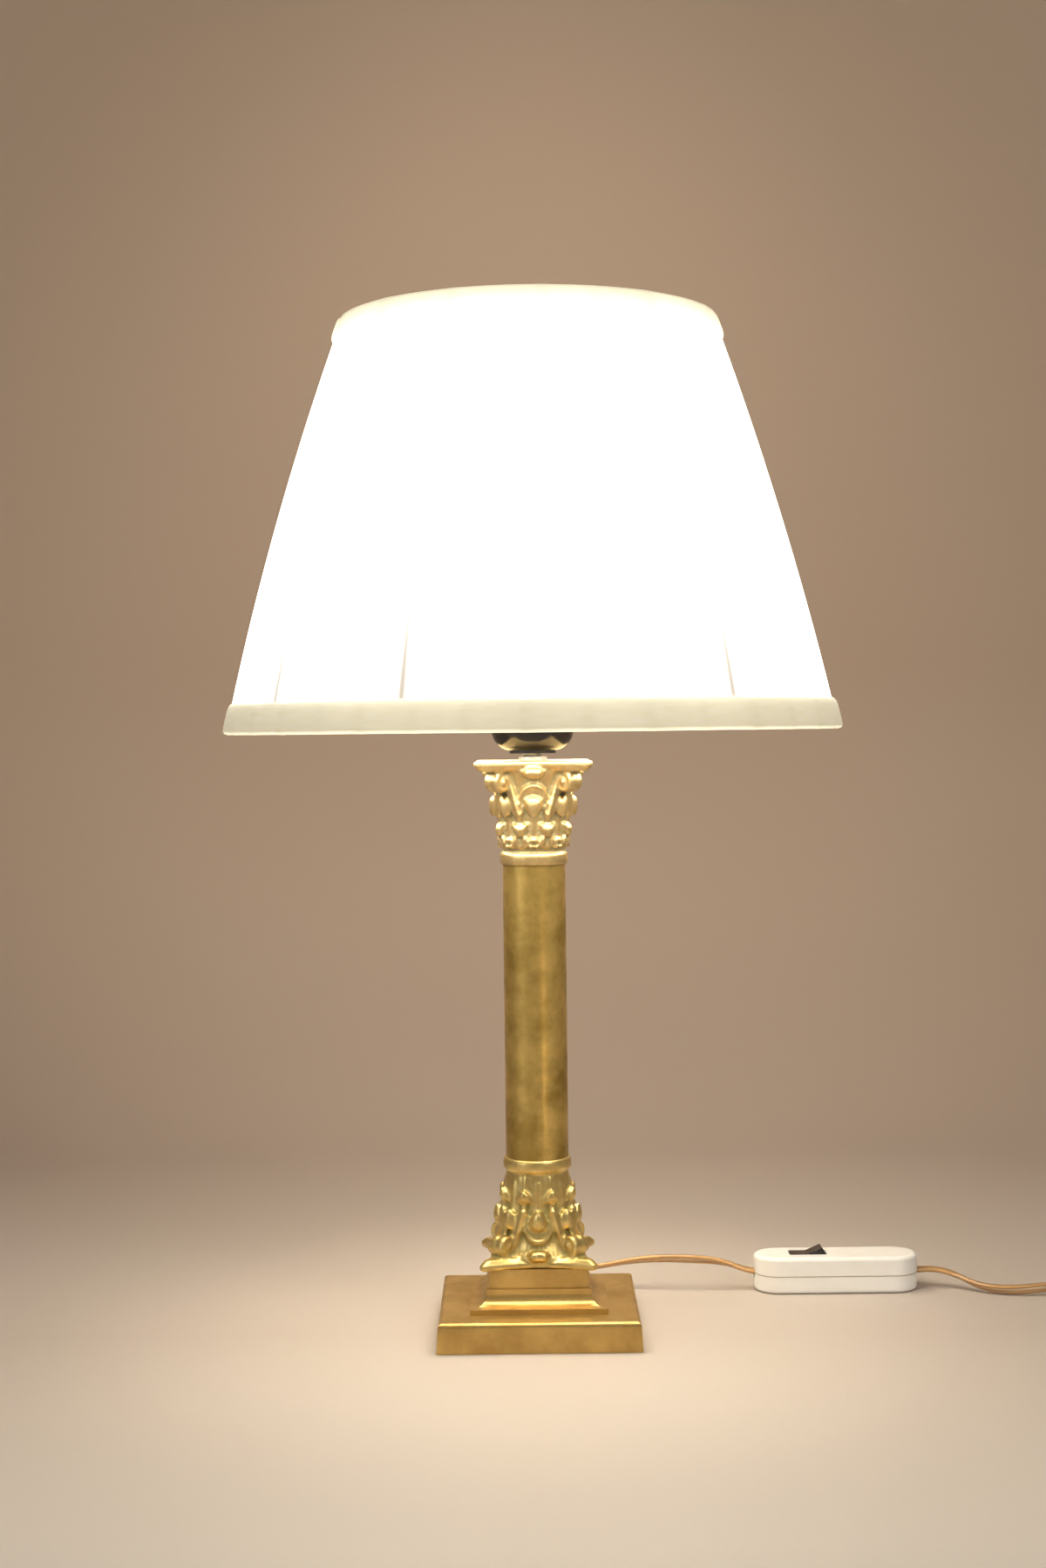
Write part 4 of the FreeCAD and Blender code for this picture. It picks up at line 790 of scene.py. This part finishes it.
def clothPiece():
    tall, around = shade["tall"], shade["panels"] * shade["perPanel"]
    verts, wireShadows = [], []
    for i in range(tall + 1):
        z = shade["low"] + (shade["high"] - shade["low"]) * i / tall
        r = shadeRadius(z)
        run = sin(pi * i / tall)
        for k in range(around):
            panel, j = divmod(k, shade["perPanel"])
            t = j / shade["perPanel"]
            t -= shade["crowding"] * sin(2 * pi * t)  # more points near the seams
            a = radians(shade["firstSeam"] + 360 / shade["panels"] * (panel + t))
            fromSeam = min(t, 1 - t) * 2 * pi * r / shade["panels"]
            seam = max(0.0, 1 - fromSeam / shade["seamWide"])
            slack = shade["pull"] * sin(pi * t) ** 0.8 * (0.35 + 0.65 * run)
            verts.append(aboutAxis(r + (-slack + shade["seamProud"] * seam), a, z) * mm)
            # painted shadow of the wires: darkest at the seam, fading out higher up the cloth, and the darker it is the
            # higher it reaches
            dark = shade["wireShadow"][(panel + (t > 0.5)) % shade["panels"]]
            wireShadows.append(seam * dark * max(0.0, 1 - (z - shade["low"] - 14) / (22 + 60 * dark)))
    mesh = newMesh("shadeCloth", verts, gridFaces(tall + 1, around), {"seam": wireShadows}, outward=False)
    made = modified(newObject("cloth", mesh), [("SOLIDIFY", {"thickness": shade["cloth"] * mm, "offset": -1})])
    return placePiece("shadeCloth", made, shadeCotton, "shade", ["shade_fabric"])


# bleached cotton voile, glue-stretched: lit from inside by painted light (an emission), it burns out to white, and
# painted shadows of the wires show as thin warm lines at the seams
voile = {"threadMm": 0.5, "warpRadius": 0.12}  # true voile has 0.3 mm between threads, drawn coarser so that it shows
shadeCotton, add, shader = newMaterial("bleachedCottonVoile", {
    "Roughness": 0.85, "Sheen Weight": 0.15, "Emission Color": "#fff9ee"})
place = add("ShaderNodeTexCoord").outputs["Object"]
spots = add("ShaderNodeSeparateXYZ", {"Vector": place}).outputs
perMetre = 2 * pi / (voile["threadMm"] * mm)
wayRound = add("ShaderNodeMath", {0: spots["Y"], 1: spots["X"]}, {"operation": "ARCTAN2"})
threads = []
for way, scale in ((wayRound, perMetre * voile["warpRadius"]), (spots["Z"], perMetre)):
    phase = add("ShaderNodeMath", {0: way, 1: scale}, {"operation": "MULTIPLY"})
    threads.append(add("ShaderNodeMath", {0: phase}, {"operation": "SINE"}))
weave = add("ShaderNodeMath", {0: threads[0], 1: threads[1]}, {"operation": "ADD"})
slub = add("ShaderNodeTexNoise", {"Vector": place, "Scale": 90.0, "Detail": 4.0})
# the seam layer holds the painted shadow of the wires
wireShadowMask = add("ShaderNodeAttribute", {}, {"attribute_name": "seam"}).outputs["Fac"]
tone = add("ShaderNodeValToRGB", {"Fac": slub}, {"stops": [(0.3, "#f3ead8"), (0.7, "#fbf6ea")]})
# the glow is painted light, an emission that stands in for the bulb's light through the cloth; along the seams towards
# the foot it is weaker and the colour warmer, a painted shadow of the wires
clearOfWireShadow = add("ShaderNodeMath", {0: 1.0, 1: wireShadowMask}, {"operation": "SUBTRACT"})
falloff = add("ShaderNodeMath", {0: clearOfWireShadow, 1: 3.0}, {"operation": "POWER"})
glow = add("ShaderNodeMath", {0: falloff, 1: 4.4, 2: 0.4}, {"operation": "MULTIPLY_ADD"})
tone = add("ShaderNodeMix", {"Factor": wireShadowMask, "A": tone, "B": "#d9c6a8"}, {"data_type": "RGBA"})
bump = add("ShaderNodeBump", {"Strength": 0.25, "Distance": 0.0001, "Height": weave})
feed(shader, {"Base Color": tone, "Normal": bump, "Emission Strength": glow})
cloth = clothPiece()

# bias ribbon round the rims: folded lengthways, a little wavy, gathered every few centimetres, its end lapped over
# the ribbon's glow is painted light: an emission for the bulb's light through it, brightest along its inside edge, with
# painted shade at the gathers and where the end laps over
ribbonCotton, add, shader = newMaterial("ivoryBiasRibbon", {
    "Roughness": 0.7, "Sheen Weight": 0.3, "Emission Color": "#f2e9c8"})
drawnOut = add("ShaderNodeMapping", {"Vector": add("ShaderNodeTexCoord").outputs["Object"], "Scale": (0.12, 0.12, 1)})
folds = add("ShaderNodeTexNoise", {"Vector": drawnOut, "Scale": 900.0, "Detail": 3.0})
through = add("ShaderNodeAttribute", {}, {"attribute_name": "through"}).outputs["Fac"]
patchy = add("ShaderNodeMath", {0: folds, 1: 0.25, 2: 0.88}, {"operation": "MULTIPLY_ADD"})
glow = add("ShaderNodeMath", {0: through, 1: patchy}, {"operation": "MULTIPLY"})
tone = add("ShaderNodeValToRGB", {"Fac": folds}, {"stops": [(0.3, "#e0d7bb"), (0.7, "#ebe2c9")]})
bump = add("ShaderNodeBump", {"Strength": 0.35, "Distance": 0.0002, "Height": folds})
feed(shader, {"Base Color": tone, "Normal": bump, "Emission Strength": glow})


def ribbonPiece(name, replaced, facts):
    # the section runs from inside the rim, round its edge and up the outside
    random.seed(facts["seed"])
    around = facts["around"]
    waves = [(random.uniform(0, 6.28), random.uniform(5, 19), random.uniform(0.3, 1)) for k in range(7)]
    verts, through = [], []
    total = around + int(around * facts["overlap"] / 360)
    for i in range(total + 1):
        a = radians(facts["start"]) + 2 * pi * i / around
        wave = sum(sin(a * round(f) + p) * w for p, f, w in waves) / 3
        pucker = max(0.0, cos(a * facts["puckers"] + 0.7 * sin(3 * a))) ** 8
        lap = min(1.0, max(0.0, (i - (total - around * facts["overlap"] / 360)) / 3))  # the end lies over the start
        for height, proud, loose, glow in facts["section"]:
            through.append(glow * (1 - facts["gatherShade"] * pucker) * (1 + 0.25 * wave * loose) * (1 - 0.3 * lap))
            z = facts["edge"] + facts["up"] * height + loose * (0.30 * wave - 0.45 * pucker) * facts["up"]
            r = shadeRadius(min(max(z, shade["low"]), shade["high"])) + proud + 0.12 * wave * loose
            r += lap * (0.75 if proud > 0 else -0.6) + pucker * 0.25 * loose
            verts.append(aboutAxis(r, a, z) * mm)
    faces = [(a, d, c, b) for a, b, c, d in gridFaces(total + 1, len(facts["section"]), closed=False)]
    band = newObject("band", newMesh(name, verts, faces, {"through": through}))
    made = modified(band, [("SOLIDIFY", {"thickness": facts["thick"] * mm, "offset": 0})])
    return placePiece(name, made, ribbonCotton, "shade", [replaced])


# section: height from the rim, distance outside the cloth, how loose, painted glow of the light let through
lowRibbon = {
    "edge": 296.0, "up": 1, "start": 176, "overlap": 7, "puckers": 36, "gatherShade": 0.14, "seed": 4, "thick": 0.55,
    "around": 288, "section": [
        (7.0, -4.6, 0.2, 1.5), (4.0, -4.7, 0, 1.5), (1.4, -4.7, 0, 1.5), (0.1, -4.1, 0, 1.5),
        (-0.15, -2.4, 0.1, 1.5), (-0.2, -0.4, 0.2, 1.4), (0.25, 1.0, 0.3, 1.1), (1.3, 1.75, 0.3, 0.38),
        (3.0, 1.85, 0.2, 0.4), (5.0, 1.9, 0.2, 0.42), (7.2, 1.85, 0.2, 0.46), (9.4, 1.8, 0.3, 0.5),
        (11.4, 1.7, 0.4, 0.6), (12.9, 1.35, 0.8, 0.75), (13.9, 0.75, 1.0, 1.0), (14.2, 0.45, 1.0, 1.2)]}
highRibbon = {
    "edge": 497.0, "up": -1, "start": 182, "overlap": 8, "puckers": 13, "gatherShade": 0.12, "seed": 9, "thick": 0.5,
    "around": 288, "section": [
        (6.0, -4.3, 0.2, 1.5), (3.4, -4.4, 0, 1.5), (1.2, -4.4, 0, 1.5), (0.1, -3.9, 0, 1.0),
        (-0.1, -2.2, 0.1, 0.8), (-0.1, -0.4, 0.2, 0.65), (0.3, 0.8, 0.3, 0.65), (1.3, 1.2, 0.3, 0.8),
        (3.0, 1.35, 0.2, 1.0), (5.0, 1.35, 0.2, 1.25), (7.4, 1.3, 0.3, 1.5), (8.9, 1.1, 0.8, 1.7),
        (9.8, 0.65, 1.0, 2.0), (10.1, 0.4, 1.0, 2.2)]}
lowRim = ribbonPiece("lowRibbon", "shade_bottom_trim", lowRibbon)
highRim = ribbonPiece("highRibbon", "shade_top_trim", highRibbon)
print("shade made")


def plastic(name, colour, dull, rough, scaleMm, relief, ior=1.5):
    # moulded plastic, paint and glaze: nearly even, with a faint grain that breaks up the highlight
    return mottled(name, {"IOR": ior}, {"Scale": 1000 / scaleMm, "Detail": 4.0}, [(0.35, dull), (0.65, colour)],
                   (0.3, 0.7, rough, rough * 1.12), {"Scale": 450.0, "Detail": 1.0}, (relief, 0.0001))


def sheetMetal(name, bright, dull, low, high, scaleMm):
    # plated or rolled metal: fine scratches, and patches that shine more and less
    return mottled(name, {"Metallic": 1.0}, {"Scale": 1000 / scaleMm, "Detail": 5.0}, [(0.35, dull), (0.65, bright)],
                   (0.35, 0.65, high, low), {"Scale": 1500.0, "Detail": 3.0}, (0.12, 0.0001))


blackBakelite = plastic("polishedBlackBakelite", "#17130f", "#0d0b0a", 0.2, 6, 0.05, 1.6)  # deep, brownish black
creamAbs = plastic("creamMouldedAbs", "#fdfcf8", "#fbf9f4", 0.24, 12, 0.08)  # warm white with a soft sheen
blackNylon = plastic("glossyBlackPolycarbonate", "#161413", "#0f0e0d", 0.14, 8, 0.05, 1.58)  # sharp highlights
whitePvc = plastic("whiteMouldedPvc", "#efece2", "#e6e2d4", 0.38, 10, 0.12)  # milky and dull
blackSleeve = plastic("blackPinSleevePvc", "#1d1b1a", "#141312", 0.4, 3, 0.1)  # dull black
steatite = plastic("glazedSteatite", "#efe9dc", "#e2dac8", 0.28, 5, 0.15, 1.6)  # ivory under a thin glaze
paintedWire = plastic("whiteEpoxyPaintedWire", "#ece7d8", "#dfd8c4", 0.35, 4, 0.2)  # off-white, a little orange peel
blackGlass = plastic("blackCapGlass", "#120f14", "#0b090c", 0.1, 5, 0.04, 1.55)  # violet-black and mirror-like
seamShadow = plastic("shadowedAbsGroove", "#c9bda2", "#b9ac90", 0.6, 4, 0.1)  # a soft shade of the cream
zincSteel = sheetMetal("zincPlatedSteel", "#c3c4c2", "#9b9c9a", 0.28, 0.42, 3)  # cool grey
contactBrass = sheetMetal("stampedContactBrass", "#dcc07a", "#bd9c56", 0.22, 0.36, 3)  # bright yellow
bulbAluminium = sheetMetal("rolledAluminiumCap", "#d2d0cb", "#b3b1ab", 0.24, 0.38, 4)  # pale silver
solder = sheetMetal("tinSolder", "#bdbcb8", "#908f8c", 0.3, 0.5, 2)  # dull silver blob
tungsten = sheetMetal("drawnTungsten", "#8d8a86", "#6c6965", 0.35, 0.5, 2)  # dark grey wire
greenFelt = mottled("pressedWoolFelt", {"Roughness": 0.95, "Sheen Weight": 0.4},
                    {"Scale": 1400.0, "Detail": 6.0, "Roughness": 0.7}, [(0.3, "#1f3a27"), (0.7, "#34573b")],
                    relief=(0.6, 0.0004), boxed=True)
opalGlass = mottled("opalBulbGlass", {"Roughness": 0.22, "IOR": 1.5, "Emission Strength": 7.0,
                                      "Emission Color": "#ffe9c4"},
                    {"Scale": 60.0, "Detail": 2.0}, [(0.3, "#f2efe8"), (0.7, "#fbfaf6")], boxed=True)
clearGlass = mottled("blownSodaGlass", {"Roughness": 0.03, "IOR": 1.52, "Transmission Weight": 1.0},
                     {"Scale": 80.0}, relief=(0.1, 0.0003), boxed=True)


# rod and bulb: threads follow the real pitches
def threadedTube(name, facts, material, body, replaced):
    low, high, pitch, segments = (facts[key] for key in ("low", "high", "pitch", "segments"))
    rows = int((high - low) / pitch * facts["perTurn"]) + 1
    verts = []
    for i in range(rows + 1):
        z = low + (high - low) * i / rows
        easing = max(0.0, min(1.0, (z - low) / pitch, (high - z) / pitch))
        for k in range(segments):
            a = 2 * pi * k / segments
            wave = 0.5 + 0.5 * cos(2 * pi * z / pitch - a)
            verts.append(aboutAxis(facts["crest"] - facts["depth"] * (1 - wave * easing), a, z) * mm)
    for k in range(segments):
        for z in (high, low):
            verts.append(aboutAxis(facts["inner"], 2 * pi * k / segments, z) * mm)
    faces = gridFaces(rows + 1, segments)
    top, tube = rows * segments, (rows + 1) * segments
    for k in range(segments):
        k2 = (k + 1) % segments
        faces.append((top + k, top + k2, tube + 2 * k2, tube + 2 * k))
        faces.append((tube + 2 * k + 1, tube + 2 * k2 + 1, k2, k))
        faces.append((tube + 2 * k, tube + 2 * k2, tube + 2 * k2 + 1, tube + 2 * k + 1))
    placePiece(name, newMesh(name, verts, faces), material, body, [replaced])


rod = {"inner": 3.9, "crest": 5.0, "depth": 0.55, "pitch": 1.0, "low": 20.0, "high": 290.8, "segments": 20,
       "perTurn": 5}
threadedTube("rodThread", rod, zincSteel, "stand", "threaded_rod")
bulbCap = {"inner": 11.7, "crest": 13.05, "depth": 0.95, "pitch": 3.63, "low": 324.05, "high": 346.05,
           "segments": 64, "perTurn": 14}
threadedTube("bulbCapThread", bulbCap, bulbAluminium, "bulb", "bulb_cap")

# the shade ring's thread on the holder's upper shell: a ridge that follows a spiral
threadTree, add, threadIn = newTree("threadRidge", {"Turns": "Float", "Radius": "Float", "Height": "Float",
                                                    "Ridge": "Float", "Foot": "Vector", "Finish": "Material"})
spiral = add("GeometryNodeCurveSpiral", {
    "Resolution": 48, "Rotations": threadIn["Turns"], "Start Radius": threadIn["Radius"],
    "End Radius": threadIn["Radius"], "Height": threadIn["Height"]})
section = add("GeometryNodeCurvePrimitiveCircle", {"Resolution": 6, "Radius": threadIn["Ridge"]})
swept = add("GeometryNodeCurveToMesh", {"Curve": spiral, "Profile Curve": section, "Fill Caps": True})
moved = add("GeometryNodeTransform", {"Geometry": swept, "Translation": threadIn["Foot"]})
endTree(threadTree, moved, threadIn["Finish"])
shellThread = {"turns": 11.0, "pitch": 2.7, "radius": 19.62, "ridge": 0.42, "foot": 314.6}
placePiece("holderShellThread", grown(threadTree, {
    "Turns": shellThread["turns"], "Radius": shellThread["radius"] * mm, "Ridge": shellThread["ridge"] * mm,
    "Height": shellThread["turns"] * shellThread["pitch"] * mm, "Foot": (0, 0, shellThread["foot"] * mm),
    "Finish": blackBakelite}), blackBakelite, "stand")

# the plug's neck: rings of soft plastic that get smaller towards the cord
neck = {"x": 282.0, "z": 6.85, "first": -82.5, "last": -63.5, "rings": 8, "rootRadius": 4.9, "tipRadius": 3.7,
        "across": 40, "roundSteps": 10, "bulge": 0.75, "halfWide": 0.8, "sunk": 0.1}


def neckRing():
    verts = []
    for k in range(neck["across"]):
        a = 2 * pi * k / neck["across"]
        for j in range(neck["roundSteps"]):
            b = 2 * pi * j / neck["roundSteps"]
            r = neck["rootRadius"] - neck["sunk"] + neck["bulge"] * cos(b)
            verts.append(Vector((r * cos(a), neck["halfWide"] * sin(b), r * sin(a))) * mm)
    return newMesh("neckRing", verts, gridFaces(neck["across"], neck["roundSteps"], looped=True))


ringPiece = newObject("neckRing", neckRing())
neckGaps = neck["rings"] - 1
neckMesh = grown(copyTree, {
    "Piece": ringPiece, "Count": neck["rings"], "Start": (neck["x"] * mm, neck["first"] * mm, neck["z"] * mm),
    "Step": (0, (neck["last"] - neck["first"]) / neckGaps * mm, 0),
    "Shrink": (neck["tipRadius"] / neck["rootRadius"] - 1) / neckGaps, "Finish": whitePvc})
bpy.data.objects.remove(ringPiece)
placePiece("plugNeckRings", neckMesh, whitePvc, "stand")

# the rocker's corners are moulded round
rockerFacts = {"voxel": 0.25, "rounds": 24}
rockerCopy = newObject("rockerCopy", evaluated(nodes["switch_rocker"]))
rockerCopy.data.transform(nodes["switch_rocker"].matrix_world)
rockerMesh = modified(rockerCopy, [("REMESH", {"mode": "VOXEL", "voxel_size": rockerFacts["voxel"] * mm}),
                                   ("SMOOTH", {"factor": 0.5, "iterations": rockerFacts["rounds"]})])
placePiece("rockerCap", rockerMesh, blackNylon, "rocker", ["switch_rocker"])

# the groove where the switch's halves meet, drawn as a hairline of shadow
switchSeam = {"x": 156.8, "y": 68.0, "z": 9.1, "length": 86.0, "width": 26.0, "proud": 0.06, "tall": 0.28,
              "inner": 0.985, "count": 96}


def seamBand():
    c = switchSeam
    radius = c["width"] / 2 + c["proud"]
    straight = (c["length"] - c["width"]) / 2
    verts = []
    for k in range(c["count"]):
        a = 2 * pi * (k + 0.5) / c["count"]
        x = radius * cos(a) + (straight if cos(a) > 0 else -straight)
        y = radius * sin(a)
        for r, z in ((1, -0.5), (1, 0.5), (c["inner"], 0.5), (c["inner"], -0.5)):
            verts.append(Vector((c["x"] + x * r, c["y"] + y * r, c["z"] + z * c["tall"])) * mm)
    return newMesh("switchSeam", verts, gridFaces(c["count"], 4, looped=True))


placePiece("switchSeam", seamBand(), seamShadow, "stand")

finishes = {
    slabBrass: ["base_slab", "base_moulding"], columnBrass: ["column_tube"],
    blackBakelite: ["holder_lower_cap", "holder_upper_shell", "shade_clamp_ring", "cord_bushing"],
    creamAbs: ["switch_base", "switch_cover"], whitePvc: ["plug_body"],
    blackSleeve: ["plug_pin_sleeves"], steatite: ["holder_contact_block"], blackGlass: ["bulb_insulator"],
    paintedWire: ["fitter_ring", "fitter_spokes", "shade_bottom_ring", "shade_top_ring", "shade_ribs"],
    zincSteel: ["clamp_washer", "lock_washer", "rod_nut", "switch_screws", "capital_locknut"],
    contactBrass: ["holder_terminal_screws", "holder_screw_shell", "holder_centre_contact", "switch_contacts",
                   "plug_pins"],
    solder: ["bulb_tip_contact"], tungsten: ["bulb_filament"], clearGlass: ["bulb_stem"], opalGlass: ["bulb_glass"],
    greenFelt: ["base_felt"]}
for material, names in finishes.items():
    for name in names:
        nodes[name].data.materials.clear()
        nodes[name].data.materials.append(material)
print("finishes laid on")

# the stage, in metres: a pale floor that runs up into a plain backdrop, and goes on behind it; the floor is painted
# lighter near the camera, a painted pool of light, and darkens into the backdrop's colour further back
stage = {"front": "#e8dfd5", "floor": "#c8bdb3", "wall": "#bca48c", "halfWide": 4, "near": -3.0, "bendStart": 0.45,
         "bendRadius": 0.35, "top": 4.0, "far": 3.5, "below": 0.0002}
bpy.context.scene.view_settings.view_transform = "Standard"
floorPaint, add, shader = newMaterial("palePaintedFloor", {"Roughness": 0.55})
spots = add("ShaderNodeSeparateXYZ", {"Vector": add("ShaderNodeTexCoord").outputs["Object"]})
depth = add("ShaderNodeMapRange", {"Value": spots.outputs["Y"], "From Min": -0.3, "From Max": 0.8})
# painted light: the floor's paint is lightest near the camera and turns darker further back, into the backdrop's colour
feed(shader, {"Base Color": add("ShaderNodeValToRGB", {"Fac": depth}, {"stops": [
    (0.0, stage["front"]), (0.26, stage["floor"]), (0.4, stage["floor"]), (1.0, stage["wall"])]})})
# the backdrop stops no view from behind: its back face is clear
back = add("ShaderNodeNewGeometry").outputs["Backfacing"]
seen = add("ShaderNodeMixShader", {0: back, 1: shader, 2: add("ShaderNodeBsdfTransparent")})
feed(floorPaint.node_tree.nodes["Material Output"], {"Surface": seen})
profile = [(stage["near"], 0.0), (-1.0, 0.0), (0.0, 0.0), (stage["bendStart"], 0.0)]
for k in range(1, 25):
    a = pi / 2 * k / 24
    profile.append((stage["bendStart"] + stage["bendRadius"] * sin(a),
                    stage["bendRadius"] - stage["bendRadius"] * cos(a)))
profile.append((stage["bendStart"] + stage["bendRadius"], stage["top"]))
wide, low = stage["halfWide"], stage["below"]
verts = flat([(-wide, y, z - low), (wide, y, z - low)] for y, z in profile)
faces = [(2 * k, 2 * k + 1, 2 * k + 3, 2 * k + 2) for k in range(len(profile) - 1)]
farVerts = [(x, y, -2 * low) for x, y in ((-wide, stage["bendStart"]), (wide, stage["bendStart"]),
                                          (wide, stage["far"]), (-wide, stage["far"]))]
for name, points, quads in (("floorAndBackdrop", verts, faces), ("floorBehindBackdrop", farVerts, [(0, 1, 2, 3)])):
    placePiece(name, newMesh(name, points, quads, outward=False), floorPaint)


def addLight(name, kind, place, target, watts, colour, settings):
    # the camera doesn't see a light itself, which is the default
    light = bpy.data.lights.new(name, kind)
    light.energy = watts
    light.color = linear(colour)[:3]
    for key, value in settings.items():
        setattr(light, key, value)
    thing = newObject(name, light)
    thing.location = place
    thing.rotation_euler = (Vector(target) - Vector(place)).to_track_quat("-Z", "Y").to_euler()


# soft studio light, a glow on the wall, the bright line down the column, and the lamp's own bulb
addLight("softKey", "AREA", (1.3, -1.5, 1.5), (0, 0, 0.2), 13, "#fffaf4", {"shape": "DISK", "size": 1.2})
addLight("softFill", "AREA", (-1.6, -1.2, 0.9), (0, 0, 0.2), 8, "#f8f8fa", {"shape": "DISK", "size": 1.4})
addLight("wallGlow", "SPOT", (0, 0.15, 1.3), (0, 0.8, 0.2), 13.5, "#fff2e2",
         {"spot_size": radians(64), "spot_blend": 1.0, "shadow_soft_size": 0.15})
addLight("warmStreak", "SPOT", (0.4, -0.7, 0.03), (0, 0, 0.15), 0.5, "#ffd9a2",
         {"spot_size": radians(14), "spot_blend": 1.0, "shadow_soft_size": 0.02})
addLight("bulbLight", "POINT", (0, 0, 0.398), (0, 0, 0), 1.5, "#fff8ec", {"shadow_soft_size": 0.031})
world = bpy.data.worlds.new("room")
bpy.context.scene.world = world
world.use_nodes = True
feed(world.node_tree.nodes["Background"], {"Color": "#ddd4c8", "Strength": 0.25})
print("stage set")
